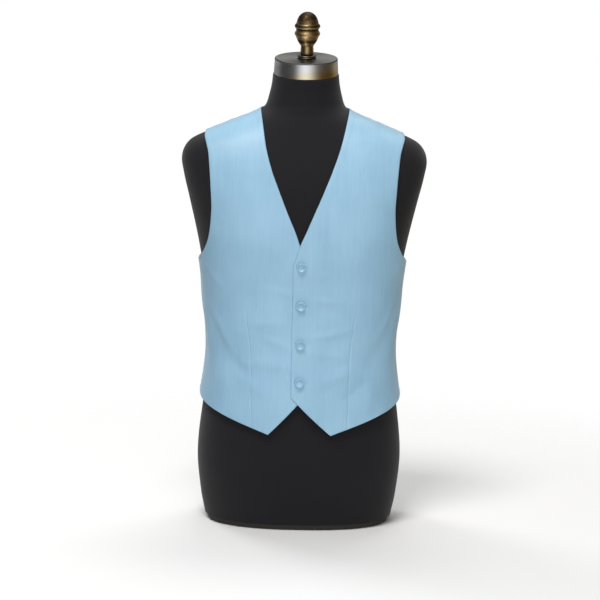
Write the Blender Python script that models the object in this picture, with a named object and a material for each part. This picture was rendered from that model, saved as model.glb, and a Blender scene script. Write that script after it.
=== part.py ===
"""A sky-blue tuxedo vest on a limbless dress form that stands on its own flat bottom.

Metres, +Z up. The front faces -Y, and the wearer's left is +X. The origin is the centre of the flat
bottom. A place on the body is an angle round it, 0 at the centre front, 90 degrees at the wearer's
left side and 180 at the centre back, and a height. The cloth is a thin wall lifted off that surface.
"""

from collections import namedtuple
from math import cos, pi, radians, sin

import bmesh
import bpy
import numpy as np
from mathutils import Matrix, Vector

# Driving sizes of the cloth
WALL = 0.0020  # cloth, interlining and lining together
SEAM_GAP = 0.0003  # between two pieces that are sewn together
LAP_CLEARANCE = 0.0005  # between the left front and the right front under it
LEFT_EDGE = -0.015  # where the left front's closing edge runs, across the body
RIGHT_EDGE = -0.007  # the same for the right front, seen in a mirror
LAP_RAMP = (0.018, 0.048)  # how far across the raised left front comes back down
CUTAWAY_TOP = 0.232  # the closing edge ends here and the hem is cut away
BREAK_HEIGHT = 0.457  # the closing edge turns into the neckline here
HEM_POINT = (0.052, 0.168)  # across and height of the point of each front
SIDE_HEM = 0.225
BACK_HEM = 0.196
UNDERARM = 0.455
SHOULDER_TIP = 0.672  # height of the shoulder seam's outer end
NECK_POINT = 0.712  # height of its inner end
BACK_NECK = 0.717

# Buttons
BUTTON_TOP = 0.4548
BUTTON_ACROSS = -0.0014  # the buttons' line lies a little to the wearer's right
BUTTON_SPACING = 0.066
BUTTON_COUNT = 4
BUTTON_RADIUS = 0.008
BUTTON_SEAT = 0.0005  # between a button and the cloth under it

# Dress form
BOARD_THICKNESS = 0.009
BOARD_INSET = 0.003
PIECE_GAP = 0.0003
NECK_TOP = 0.772
NECK_LEAN = radians(11.2)
CAP_RADIUS = 0.0549
CAP_TOP_RADIUS = 0.0534
CAP_HEIGHT = 0.0280
CAP_ROUND = 0.0015
COLLAR_RADIUS = 0.0160
COLLAR_HEIGHT = 0.0046
COLLAR_BEVEL = 0.0012
FINIAL_SHIFT = 0.0010  # the finial stands this far from the cap's centre, across

# How finely the shapes are divided
BODY_RINGS = 42
SHOULDER_WEIGHT = 2.4  # rings crowd together where the body narrows quickly
BODY_POINTS = 48
PANEL_COLUMNS = 16
POINT_COLUMN = 6  # this column ends at the point of the front's hem
LOW_ROWS = 11
HIGH_ROWS = 20
NECK_ROWS = 6  # of the high rows of the back, those that end on its neckline
FINE = 240  # steps of a side before it is divided evenly
KNOT_STEPS = 30  # steps between two places of a table
HALVINGS = 40  # of the angle searched for a distance across
CAP_STEPS = 40  # steps of a turn
COLLAR_STEPS = 24
FINIAL_STEPS = 22
BUTTON_STEPS = 18

Section = namedtuple("Section", "height half_width front back centre square lean")
BODY = [
    # height, half_width, front, back, centre, square, lean
    Section(0.000, 0.161, 0.105, 0.114, 0.000, 2.35, 0.000),
    Section(0.050, 0.171, 0.113, 0.123, 0.000, 2.35, 0.000),
    Section(0.115, 0.177, 0.118, 0.130, 0.000, 2.35, 0.000),
    Section(0.210, 0.168, 0.116, 0.121, 0.000, 2.35, 0.000),
    Section(0.305, 0.153, 0.108, 0.105, 0.000, 2.30, 0.000),
    Section(0.400, 0.164, 0.114, 0.114, 0.000, 2.35, 0.000),
    Section(0.490, 0.180, 0.123, 0.126, 0.000, 2.45, 0.000),
    Section(0.560, 0.196, 0.117, 0.127, 0.000, 2.60, 0.000),
    Section(0.604, 0.2065, 0.1068, 0.1192, 0.000, 2.68, 0.000),
    Section(0.626, 0.2100, 0.0992, 0.1112, 0.000, 2.65, 0.000),
    Section(0.635, 0.2091, 0.0958, 0.1076, 0.000, 2.61, 0.000),
    Section(0.644, 0.2060, 0.0922, 0.1038, 0.000, 2.56, 0.000),
    Section(0.652, 0.2011, 0.0889, 0.1002, 0.000, 2.50, 0.000),
    Section(0.659, 0.1941, 0.0860, 0.0970, 0.000, 2.44, 0.000),
    Section(0.665, 0.1840, 0.0834, 0.0941, 0.000, 2.39, 0.000),
    Section(0.676, 0.1585, 0.0787, 0.0887, 0.000, 2.30, 0.000),
    Section(0.690, 0.1250, 0.0730, 0.0815, 0.000, 2.20, 0.000),
    Section(0.703, 0.092, 0.068, 0.074, 0.000, 2.10, 0.010),
    Section(0.712, 0.0745, 0.0655, 0.070, -0.001, 2.05, 0.031),
    Section(0.722, 0.0665, 0.0630, 0.066, -0.002, 2.00, 0.069),
    Section(0.735, 0.0625, 0.0605, 0.062, -0.004, 2.00, 0.119),
    Section(0.755, 0.0580, 0.0575, 0.058, -0.007, 2.00, 0.175),
    Section(NECK_TOP, 0.0560, 0.0560, 0.0560, -0.010, 2.00, 0.198),
]

Gap = namedtuple("Gap", "height front side back")
GAPS = [
    # height, then how far the cloth stands off the form at the front, side and back
    Gap(0.160, 0.0045, 0.0050, 0.0040),
    Gap(0.225, 0.0050, 0.0065, 0.0060),
    Gap(0.305, 0.0070, 0.0105, 0.0100),
    Gap(0.400, 0.0035, 0.0070, 0.0065),
    Gap(0.490, 0.0014, 0.0030, 0.0018),
    Gap(0.580, 0.0013, 0.0014, 0.0014),
    Gap(0.650, 0.0012, 0.0011, 0.0016),
    Gap(0.720, 0.0012, 0.0012, 0.0018),
]

Neck = namedtuple("Neck", "height left right")
NECKLINE = [
    # height, then how far across the left and the right front's necklines lie, each on its own side
    Neck(BREAK_HEIGHT, LEFT_EDGE, RIGHT_EDGE),
    Neck(0.4765, -0.0080, -0.0002),
    Neck(0.4890, -0.0042, 0.0042),
    Neck(0.5100, 0.0050, 0.0117),
    Neck(0.5340, 0.0152, 0.0222),
    Neck(0.5825, 0.0358, 0.0420),
    Neck(0.6125, 0.0476, 0.0536),
    Neck(0.6500, 0.0604, 0.0640),
    Neck(0.6900, 0.0700, 0.0706),
    Neck(NECK_POINT, 0.0745, 0.0745),
]

Place = namedtuple("Place", "angle height")
ARMHOLE_FRONT = [
    # angle and height, from the underarm up to the shoulder seam
    Place(90.0, UNDERARM),
    Place(76.0, 0.463),
    Place(65.0, 0.492),
    Place(60.5, 0.540),
    Place(61.0, 0.590),
    Place(64.5, 0.630),
    Place(70.0, 0.6535),
    Place(76.5, 0.6655),
    Place(83.0, 0.6705),
    Place(90.0, SHOULDER_TIP),
]
ARMHOLE_BACK = [
    Place(90.0, UNDERARM),
    Place(104.0, 0.463),
    Place(114.5, 0.492),
    Place(118.8, 0.540),
    Place(119.2, 0.590),
    Place(116.8, 0.630),
    Place(111.5, 0.6535),
    Place(104.5, 0.6660),
    Place(97.5, 0.6704),
    Place(90.0, SHOULDER_TIP),
]
NECKLINE_BACK = [
    Place(180.0, BACK_NECK),
    Place(150.0, 0.7165),
    Place(120.0, 0.7145),
    Place(90.0, NECK_POINT),
]
HEM_FRONT = [
    # from the point of the front to the side seam; the first angle is worked out from HEM_POINT
    Place(45.0, 0.186),
    Place(68.0, 0.207),
    Place(90.0, SIDE_HEM),
]
HEM_BACK = [
    Place(180.0, BACK_HEM),
    Place(150.0, 0.197),
    Place(120.0, 0.207),
    Place(90.0, SIDE_HEM),
]

Fold = namedtuple("Fold", "side angle height length width depth slant")
FOLDS = [
    # side (1 left, -1 right), angle, height, length, width, depth out (in if below 0), slant
    Fold(1, 74.0, 0.335, 0.170, 0.016, 0.0030, 12.0),
    Fold(1, 57.0, 0.300, 0.120, 0.018, -0.0024, 20.0),
    Fold(-1, 72.0, 0.322, 0.190, 0.018, 0.0034, 14.0),
    Fold(-1, 52.0, 0.285, 0.110, 0.015, -0.0022, 24.0),
    Fold(1, 112.0, 0.315, 0.200, 0.018, 0.0040, -8.0),
    Fold(1, 138.0, 0.290, 0.230, 0.020, 0.0036, -4.0),
    Fold(1, 125.0, 0.300, 0.180, 0.016, -0.0038, -5.0),
    Fold(-1, 108.0, 0.330, 0.180, 0.017, 0.0036, -10.0),
    Fold(-1, 142.0, 0.285, 0.210, 0.022, 0.0042, -3.0),
    Fold(-1, 123.0, 0.305, 0.200, 0.018, -0.0036, -6.0),
    Fold(1, 150.0, 0.560, 0.120, 0.022, 0.0022, 35.0),
    Fold(-1, 147.0, 0.550, 0.135, 0.020, 0.0026, 32.0),
]

Ring = namedtuple("Ring", "radius height")
BUTTON_PROFILE = [
    # a dished button with a raised rim, top to bottom
    Ring(0.0, 0.0014),
    Ring(0.0032, 0.0015),
    Ring(0.0051, 0.0022),
    Ring(0.0062, 0.0035),
    Ring(0.0069, 0.0040),
    Ring(0.0077, 0.0036),
    Ring(BUTTON_RADIUS, 0.0027),
    Ring(BUTTON_RADIUS, 0.0012),
    Ring(0.0071, 0.0),
    Ring(0.0, 0.0),
]
FINIAL_PROFILE = [
    # a dome over two beads with a groove between them, a bulb and a stem, top to bottom
    Ring(0.0, 0.0727),
    Ring(0.0050, 0.0720),
    Ring(0.0086, 0.0704),
    Ring(0.0116, 0.0683),
    Ring(0.0139, 0.0657),
    Ring(0.0158, 0.0627),
    Ring(0.0171, 0.0596),
    Ring(0.0181, 0.0566),
    Ring(0.0189, 0.0534),
    Ring(0.0208, 0.0509),
    Ring(0.0217, 0.0489),
    Ring(0.0214, 0.0473),
    Ring(0.0194, 0.0441),
    Ring(0.0187, 0.0425),
    Ring(0.0193, 0.0409),
    Ring(0.0214, 0.0371),
    Ring(0.0215, 0.0350),
    Ring(0.0204, 0.0330),
    Ring(0.0192, 0.0307),
    Ring(0.0180, 0.0278),
    Ring(0.0161, 0.0233),
    Ring(0.0137, 0.0194),
    Ring(0.0114, 0.0163),
    Ring(0.0107, 0.0140),
    Ring(0.0105, 0.0000),
    Ring(0.0, 0.0000),
]


def smooth_step(value, start, end):
    """0 at start and 1 at end, easing in and out."""
    share = np.clip((value - start) / (end - start), 0.0, 1.0)
    return share * share * (3 - 2 * share)


def column(rows, name, height):
    """A table's column at the given heights, on a smooth line that never overshoots its rows."""
    heights = np.array([row.height for row in rows])
    values = np.array([getattr(row, name) for row in rows])
    steps = np.diff(values) / np.diff(heights)
    slopes = np.concatenate(([steps[0]], np.zeros(len(steps) - 1), [steps[-1]]))
    before, after = steps[:-1], steps[1:]
    same_way = before * after > 0
    slopes[1:-1][same_way] = 2 * (before * after)[same_way] / (before + after)[same_way]
    height = np.clip(height, heights[0], heights[-1])
    low = np.clip(np.searchsorted(heights, height, side="right") - 1, 0, len(steps) - 1)
    width = heights[low + 1] - heights[low]
    share = (height - heights[low]) / width
    rest = 1 - share
    return (
        (1 + 2 * share) * rest**2 * values[low]
        + share * rest**2 * width * slopes[low]
        + share**2 * (3 - 2 * share) * values[low + 1]
        - share**2 * rest * width * slopes[low + 1]
    )


def body_point(angle, height):
    """The form's surface at angles in radians and heights."""
    half_width = column(BODY, "half_width", height)
    front = column(BODY, "front", height)
    back = column(BODY, "back", height)
    square = column(BODY, "square", height)
    depth = np.where(np.cos(angle) > 0, front, back)
    across = np.abs(np.sin(angle) / half_width) ** square
    along = np.abs(np.cos(angle) / depth) ** square
    reach = (across + along) ** (-1 / square)
    y = -reach * np.cos(angle)
    return np.stack(
        [
            reach * np.sin(angle),
            column(BODY, "centre", height) + y,
            height + column(BODY, "lean", height) * y,
        ],
        axis=-1,
    )


def body_normal(angle, height):
    """The direction straight out of the form's surface."""
    turn, rise = 0.004, 0.0008
    around = body_point(angle + turn, height) - body_point(angle - turn, height)
    up = body_point(angle, height + rise) - body_point(angle, height - rise)
    out = np.cross(around, up)
    return out / np.linalg.norm(out, axis=-1, keepdims=True)


def angle_across(across, height):
    """The angle at which the form's surface lies that far across, on the front half."""
    low = np.full(np.shape(height), -pi / 2)
    high = np.full(np.shape(height), pi / 2)
    for _ in range(HALVINGS):
        middle = (low + high) / 2
        inside = body_point(middle, height)[..., 0] < across
        low = np.where(inside, middle, low)
        high = np.where(inside, high, middle)
    return (low + high) / 2


def path_through(places):
    """A fine smooth path of (angle, height) through a table of places."""
    knots = np.array([(radians(place.angle), place.height) for place in places])
    knots = np.vstack((2 * knots[0] - knots[1], knots, 2 * knots[-1] - knots[-2]))
    share = np.linspace(0, 1, KNOT_STEPS, endpoint=False)[:, None]
    pieces = []
    for a, b, c, d in zip(knots, knots[1:], knots[2:], knots[3:]):
        bend = (2 * a - 5 * b + 4 * c - d) * share**2 + (3 * b - a - 3 * c + d) * share**3
        pieces.append((2 * b + (c - a) * share + bend) / 2)
    pieces.append(knots[-2:-1])
    return np.vstack(pieces)


def straight(start, end):
    """A fine straight path of (angle, height)."""
    share = np.linspace(0, 1, FINE)[:, None]
    return (1 - share) * np.array(start) + share * np.array(end)


def evenly(path, steps):
    """The same path with that many steps of equal length on the body."""
    points = body_point(path[:, 0], path[:, 1])
    lengths = np.linalg.norm(np.diff(points, axis=0), axis=1)
    travelled = np.concatenate(([0.0], np.cumsum(lengths)))
    wanted = np.linspace(0, travelled[-1], steps + 1)
    return np.stack(
        [np.interp(wanted, travelled, path[:, 0]), np.interp(wanted, travelled, path[:, 1])],
        axis=-1,
    )


def patch(bottom, top, left, right):
    """The grid of (angle, height) between four sides."""
    u = np.linspace(0, 1, len(bottom))[None, :, None]
    v = np.linspace(0, 1, len(left))[:, None, None]
    ruled = (1 - v) * bottom[None] + v * top[None] + (1 - u) * left[:, None] + u * right[:, None]
    corners = (1 - v) * ((1 - u) * bottom[0] + u * bottom[-1]) + v * (
        (1 - u) * top[0] + u * top[-1]
    )
    return ruled - corners


def panel_grid(hem, low_left, low_right, high_left, high_right, top):
    """A panel's grid: the part below the chest line, and the part above it."""
    chest = evenly(straight(low_left[-1], low_right[-1]), PANEL_COLUMNS)
    low = patch(hem, chest, low_left, low_right)
    high = patch(chest, top, high_left, high_right)
    return np.vstack((low, high[1:]))


def front_grid(side):
    """The grid of a front, as if it were the wearer's left one. The right one laps less far."""
    word = "left" if side > 0 else "right"
    edge = LEFT_EDGE if side > 0 else RIGHT_EDGE

    heights = np.linspace(CUTAWAY_TOP, BREAK_HEIGHT, FINE)
    closing = np.stack([angle_across(np.full(FINE, edge), heights), heights], axis=-1)
    heights = np.linspace(BREAK_HEIGHT, NECK_POINT, FINE)
    across = column(NECKLINE, word, heights)
    neckline = np.stack([angle_across(across, heights), heights], axis=-1)
    neckline[-1] = (pi / 2, NECK_POINT)
    point_angle = angle_across(np.array(HEM_POINT[0]), np.array(HEM_POINT[1]))
    point = Place(np.degrees(point_angle), HEM_POINT[1])
    cutaway = straight(closing[0], (point_angle, HEM_POINT[1]))
    hem = np.vstack(
        (
            evenly(cutaway, POINT_COLUMN)[:-1],
            evenly(path_through([point] + HEM_FRONT), PANEL_COLUMNS - POINT_COLUMN),
        )
    )
    side_seam = straight((pi / 2, SIDE_HEM), (pi / 2, UNDERARM))
    shoulder = straight((pi / 2, NECK_POINT), (pi / 2, SHOULDER_TIP))
    return panel_grid(
        hem,
        evenly(closing, LOW_ROWS),
        evenly(side_seam, LOW_ROWS),
        evenly(neckline, HIGH_ROWS),
        evenly(path_through(ARMHOLE_FRONT), HIGH_ROWS),
        evenly(shoulder, PANEL_COLUMNS),
    )


def back_grid():
    """The grid of a back piece on the wearer's left. Its inner side turns into the neckline."""
    centre_seam = straight((pi, BACK_HEM), (pi, UNDERARM))
    centre_top = straight((pi, UNDERARM), (pi, BACK_NECK))
    side_seam = straight((pi / 2, SIDE_HEM), (pi / 2, UNDERARM))
    shoulder = straight((pi / 2, NECK_POINT), (pi / 2, SHOULDER_TIP))
    neckline = evenly(path_through(NECKLINE_BACK), NECK_ROWS)
    return panel_grid(
        evenly(path_through(HEM_BACK), PANEL_COLUMNS),
        evenly(centre_seam, LOW_ROWS),
        evenly(side_seam, LOW_ROWS),
        np.vstack((evenly(centre_top, HIGH_ROWS - NECK_ROWS), neckline[1:])),
        evenly(path_through(ARMHOLE_BACK), HIGH_ROWS),
        evenly(shoulder, PANEL_COLUMNS),
    )


def fold_lift(side, angle, height):
    """How far the soft folds lift or sink the cloth on one side of the body."""
    lift = np.zeros(np.shape(height))
    radius = np.linalg.norm(body_point(angle, height)[..., :2], axis=-1)
    for fold in FOLDS:
        if fold.side == side:
            across = (angle - radians(fold.angle)) * radius
            up = height - fold.height
            lean = radians(fold.slant)
            along = up * cos(lean) + across * sin(lean)
            away = across * cos(lean) - up * sin(lean)
            fade = np.clip(1 - (2 * along / fold.length) ** 2, 0.0, 1.0) ** 2
            lift += fold.depth * fade * np.exp(-((away / fold.width) ** 2))
    return lift


def cloth_gap(side, angle, height):
    """The gap between the form and the cloth's inner face."""
    front = np.maximum(np.cos(angle), 0) ** 2
    back = np.maximum(-np.cos(angle), 0) ** 2
    flank = 1 - front - back
    return (
        front * column(GAPS, "front", height)
        + flank * column(GAPS, "side", height)
        + back * column(GAPS, "back", height)
        + fold_lift(side, angle, height)
    )


def lap_lift(side, angle, height):
    """The left front rises over the right one where they lap."""
    if side < 0:
        return np.zeros(np.shape(height))
    across = body_point(angle, height)[..., 0]
    return (WALL + LAP_CLEARANCE) * (1 - smooth_step(across, *LAP_RAMP))


def cloth_point(side, angle, height, lift=0.0):
    """A point of the cloth, lifted off its inner face."""
    gap = cloth_gap(side, angle, height)
    if np.ndim(gap):
        gap, lift = gap[..., None], np.expand_dims(lift + np.zeros(np.shape(height)), -1)
    point = body_point(angle, height) + body_normal(angle, height) * (gap + lift)
    return point * np.array([side, 1, 1])


def finish(name, colour, roughness, metallic=0.0):
    """A plain Principled material."""
    material = bpy.data.materials.new(name)
    material.use_nodes = True
    shader = material.node_tree.nodes["Principled BSDF"]
    shader.inputs["Base Color"].default_value = (*colour, 1.0)
    shader.inputs["Roughness"].default_value = roughness
    shader.inputs["Metallic"].default_value = metallic
    return material


def add_object(name, mesh, material, place=None):
    """Put a mesh into the scene, shaded smooth."""
    mesh.materials.append(material)
    mesh.shade_smooth()
    mesh.set_sharp_from_angle(angle=radians(40))
    piece = bpy.data.objects.new(name, mesh)
    if place is not None:
        piece.matrix_world = place
    bpy.context.scene.collection.objects.link(piece)
    return piece


def ring_solid(name, rings, material):
    """A closed solid through rings of points, from the lowest to the highest."""
    form = bmesh.new()
    loops = []
    for ring in rings:
        corners = [form.verts.new(point) for point in ring]
        loops.append([form.edges.new(pair) for pair in zip(corners, corners[1:] + corners[:1])])
    for lower, upper in zip(loops, loops[1:]):
        bmesh.ops.bridge_loops(form, edges=lower + upper)
    bmesh.ops.holes_fill(form, edges=loops[0] + loops[-1], sides=0)
    bmesh.ops.recalc_face_normals(form, faces=form.faces)
    mesh = bpy.data.meshes.new(name)
    form.to_mesh(mesh)
    form.free()
    return add_object(name, mesh, material)


def turned_solid(name, profile, place, steps, material):
    """A solid turned from a profile of rings, top to bottom, about its own Z."""
    mesh = bpy.data.meshes.new(name)
    points = [(ring.radius, 0.0, ring.height) for ring in profile]
    mesh.from_pydata(points, [(i, i + 1) for i in range(len(points) - 1)], [])
    piece = add_object(name, mesh, material, place)
    screw = piece.modifiers.new("turned", "SCREW")
    screw.steps = screw.render_steps = steps
    screw.use_merge_vertices = True
    screw.merge_threshold = 0.00001
    screw.use_smooth_shade = True
    return piece


def wall_solid(name, inner, outer, material):
    """A closed wall between two grids of points."""
    rows, columns = inner.shape[:2]
    form = bmesh.new()
    faces_in = [[form.verts.new(point) for point in row] for row in inner]
    faces_out = [[form.verts.new(point) for point in row] for row in outer]
    for i in range(rows - 1):
        for j in range(columns - 1):
            for grid in (faces_in, faces_out):
                form.faces.new((grid[i][j], grid[i][j + 1], grid[i + 1][j + 1], grid[i + 1][j]))
    rim = [(0, j) for j in range(columns)]
    rim += [(i, columns - 1) for i in range(1, rows)]
    rim += [(rows - 1, j) for j in range(columns - 2, -1, -1)]
    rim += [(i, 0) for i in range(rows - 2, 0, -1)]
    for (i, j), (k, m) in zip(rim, rim[1:] + rim[:1]):
        form.faces.new((faces_in[i][j], faces_in[k][m], faces_out[k][m], faces_out[i][j]))
    bmesh.ops.recalc_face_normals(form, faces=form.faces)
    mesh = bpy.data.meshes.new(name)
    form.to_mesh(mesh)
    form.free()
    return add_object(name, mesh, material)


def make_panel(name, side, is_back, material):
    """A vest panel: its grid pulled back half a gap from each seam, as a wall of cloth."""
    grid = back_grid() if is_back else front_grid(side)
    angle, height = grid[..., 0], grid[..., 1]
    pull = np.arcsin(SEAM_GAP / 2 / column(BODY, "half_width", height))
    if is_back:
        centre_pull = np.arcsin(SEAM_GAP / 2 / column(BODY, "back", height))
        angle = np.clip(angle, pi / 2 + pull, pi - centre_pull)
        lap = np.zeros(angle.shape)
    else:
        angle = np.minimum(angle, pi / 2 - pull)
        lap = lap_lift(side, angle, height)
    inner = cloth_point(side, angle, height, lap)
    outer = cloth_point(side, angle, height, lap + WALL)
    return wall_solid(name, inner, outer, material)


def make_vest(cloth, button_cloth):
    """The four panels, and the buttons on the left front."""
    for word, side in (("left", 1), ("right", -1)):
        make_panel(f"vest_front_{word}", side, False, cloth)
        make_panel(f"vest_back_{word}", side, True, cloth)
    for i in range(BUTTON_COUNT):
        height = np.array(BUTTON_TOP - i * BUTTON_SPACING)
        angle = angle_across(np.array(BUTTON_ACROSS), height)
        lift = WALL + float(lap_lift(1, angle, height)) + BUTTON_SEAT
        seat = Vector(cloth_point(1, angle, height, lift))
        facing = Vector(body_normal(angle, height)).to_track_quat("Z", "Y").to_matrix().to_4x4()
        place = Matrix.Translation(seat) @ facing
        turned_solid(f"button_{i + 1}", BUTTON_PROFILE, place, BUTTON_STEPS, button_cloth)


def make_form(jersey, board):
    """The padded torso with its neck, and the board that closes its bottom."""
    around = np.linspace(0, 2 * pi, BODY_POINTS, endpoint=False)
    fine = np.linspace(BOARD_THICKNESS + PIECE_GAP, NECK_TOP, 8 * FINE)
    outline = np.stack([SHOULDER_WEIGHT * column(BODY, "half_width", fine), fine], axis=-1)
    lengths = np.linalg.norm(np.diff(outline, axis=0), axis=1)
    travelled = np.concatenate(([0.0], np.cumsum(lengths)))
    levels = np.interp(np.linspace(0, travelled[-1], BODY_RINGS), travelled, fine)
    rings = [body_point(around, np.full(BODY_POINTS, level)) for level in levels]
    ring_solid("form_torso", rings, jersey)

    base = body_point(around, np.zeros(BODY_POINTS))
    share = 1 - BOARD_INSET / np.linalg.norm(base[:, :2], axis=1, keepdims=True)
    base = base * share
    rings = [base + np.array([0, 0, level]) for level in (0.0, BOARD_THICKNESS)]
    ring_solid("bottom_board", rings, board)


def make_neck_fittings(steel, dark, brass):
    """The neck cap, and the turned finial in its collar."""
    neck_centre = (0.0, BODY[-1].centre, NECK_TOP)
    up = Matrix.Translation(neck_centre) @ Matrix.Rotation(NECK_LEAN, 4, "X")
    corner = [
        Ring(
            CAP_TOP_RADIUS - CAP_ROUND + CAP_ROUND * sin(turn),
            CAP_HEIGHT - CAP_ROUND + CAP_ROUND * cos(turn),
        )
        for turn in (0, pi / 8, pi / 4, 3 * pi / 8, pi / 2)
    ]
    cap = [Ring(0.0, CAP_HEIGHT)] + corner + [Ring(CAP_RADIUS, 0.0), Ring(0.0, 0.0)]
    place = up @ Matrix.Translation((0, 0, PIECE_GAP))
    turned_solid("neck_cap", cap, place, CAP_STEPS, steel)

    collar_seat = PIECE_GAP + CAP_HEIGHT + PIECE_GAP
    collar = [
        Ring(0.0, COLLAR_HEIGHT),
        Ring(COLLAR_RADIUS - COLLAR_BEVEL, COLLAR_HEIGHT),
        Ring(COLLAR_RADIUS, COLLAR_HEIGHT - COLLAR_BEVEL),
        Ring(COLLAR_RADIUS, COLLAR_BEVEL),
        Ring(COLLAR_RADIUS - COLLAR_BEVEL, 0.0),
        Ring(0.0, 0.0),
    ]
    place = up @ Matrix.Translation((FINIAL_SHIFT, 0, collar_seat))
    turned_solid("finial_collar", collar, place, COLLAR_STEPS, dark)

    finial_seat = collar_seat + COLLAR_HEIGHT + PIECE_GAP
    place = up @ Matrix.Translation((FINIAL_SHIFT, 0, finial_seat))
    turned_solid("finial", FINIAL_PROFILE, place, FINIAL_STEPS, brass)


def main():
    """Clear the scene and build the dress form with the vest on it."""
    for piece in list(bpy.data.objects):
        bpy.data.objects.remove(piece, do_unlink=True)
    cloth = finish("satin cloth", (0.36, 0.58, 0.71), 0.45)
    button_cloth = finish("covered button", (0.38, 0.60, 0.73), 0.42)
    jersey = finish("black jersey", (0.012, 0.012, 0.014), 0.9)
    board = finish("black board", (0.02, 0.02, 0.02), 0.6)
    steel = finish("brushed steel", (0.60, 0.59, 0.57), 0.32, 1.0)
    dark = finish("dark collar", (0.03, 0.028, 0.026), 0.4, 0.6)
    brass = finish("antique brass", (0.36, 0.25, 0.12), 0.36, 1.0)
    make_form(jersey, board)
    make_neck_fittings(steel, dark, brass)
    make_vest(cloth, button_cloth)


main()
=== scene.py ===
# %% [markdown]
# # A tuxedo vest on its dress form
#
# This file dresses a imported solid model: a sky-blue satin vest, worn by a black jersey form with a
# steel neck cap and a turned brass finial. The solids already have the right sizes and places, so each
# step here makes the fine surface of one piece, gives it a finish, and says which solid it stands for.
#
# Units are metres and +Z is up. The front faces -Y, and the wearer's left is +X.

# %% Load the frame
from collections import namedtuple
from math import cos, pi, radians, sin

import bpy
import numpy as np
from mathutils import Matrix, Vector


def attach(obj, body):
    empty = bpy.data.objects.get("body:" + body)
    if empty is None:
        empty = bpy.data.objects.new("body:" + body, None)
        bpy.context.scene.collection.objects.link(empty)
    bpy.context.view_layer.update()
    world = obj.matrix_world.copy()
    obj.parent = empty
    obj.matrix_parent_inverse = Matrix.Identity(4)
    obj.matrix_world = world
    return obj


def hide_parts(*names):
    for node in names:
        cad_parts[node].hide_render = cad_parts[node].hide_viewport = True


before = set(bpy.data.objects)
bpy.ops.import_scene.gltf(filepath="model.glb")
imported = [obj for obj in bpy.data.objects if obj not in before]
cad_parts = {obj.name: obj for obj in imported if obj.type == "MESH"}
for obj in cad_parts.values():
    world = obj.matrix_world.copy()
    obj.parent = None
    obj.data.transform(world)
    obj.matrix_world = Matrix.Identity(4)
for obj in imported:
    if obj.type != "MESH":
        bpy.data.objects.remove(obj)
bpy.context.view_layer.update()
print("solids:", ", ".join(sorted(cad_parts)))

# %% [markdown]
# ## Shader maths as plain expressions
#
# A shader graph is easier to read as a formula than as a list of links. The class below wraps one
# socket, so that `1 - mask` or `streak * 0.3` adds the Math node that it needs. A finish keeps the
# material's node tree, and its `node` method makes any other node from its type, settings and sockets.
# Another way is to wire each node by hand, which soon hides what the finish does.


# %% A shader value with operators
class Value:
    """One shader value: sums, products and waves of values add Math nodes."""

    def __init__(self, nodes, socket):
        self.nodes = nodes
        self.socket = socket

    def math(self, operation, first, second=0.0):
        return self.nodes.node("ShaderNodeMath", {"operation": operation}, {0: first, 1: second})

    def __add__(self, other):
        return self.math("ADD", self, other)

    def __radd__(self, other):
        return self.math("ADD", other, self)

    def __sub__(self, other):
        return self.math("SUBTRACT", self, other)

    def __rsub__(self, other):
        return self.math("SUBTRACT", other, self)

    def __mul__(self, other):
        return self.math("MULTIPLY", self, other)

    def __rmul__(self, other):
        return self.math("MULTIPLY", other, self)

    def __truediv__(self, other):
        return self.math("DIVIDE", self, other)

    def __abs__(self):
        return self.math("ABSOLUTE", self)

    def sine(self):
        return self.math("SINE", self)

    def cosine(self):
        return self.math("COSINE", self)

    def fraction(self):
        return self.math("FRACT", self)


# %% A node tree
class Nodes:
    """A node tree, with one method for any node."""

    def __init__(self, tree):
        self.tree = tree

    def node(self, kind, settings, sockets, output=0):
        """Any node, from its type, its settings and the values or links of its sockets."""
        made = self.tree.nodes.new(kind)
        for name, value in settings.items():
            setattr(made, name, value)
        for key, value in sockets.items():
            self.join(value, made.inputs[key])
        return Value(self, made.outputs[output])

    def join(self, value, socket):
        """Link a value to a socket, or set a plain number or colour on it."""
        if isinstance(value, Value):
            self.tree.links.new(value.socket, socket)
        else:
            socket.default_value = value

    def blend(self, share, first, second):
        """A colour between two colours."""
        sockets = {0: share, 6: first, 7: second}
        settings = {"data_type": "RGBA", "blend_type": "MIX"}
        return self.node("ShaderNodeMix", settings, sockets, output=2)

    def between(self, value, low, high):
        """0 where a value is at or under low, 1 at or over high, and smooth between."""
        sockets = {"Value": value, "From Min": low, "From Max": high}
        return self.node("ShaderNodeMapRange", {"interpolation_type": "SMOOTHSTEP"}, sockets)

    def parts(self, vector):
        """The three numbers of a vector."""
        made = self.node("ShaderNodeSeparateXYZ", {}, {0: vector})
        return [Value(self, output) for output in made.socket.node.outputs]

    def noise(self, x, y, z, detail):
        """Smooth noise from 0 to 1 at a place worked out from values."""
        vector = self.node("ShaderNodeCombineXYZ", {}, {0: x, 1: y, 2: z})
        sockets = {"Vector": vector, "Scale": 1.0, "Detail": detail}
        return self.node("ShaderNodeTexNoise", {}, sockets)


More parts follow.
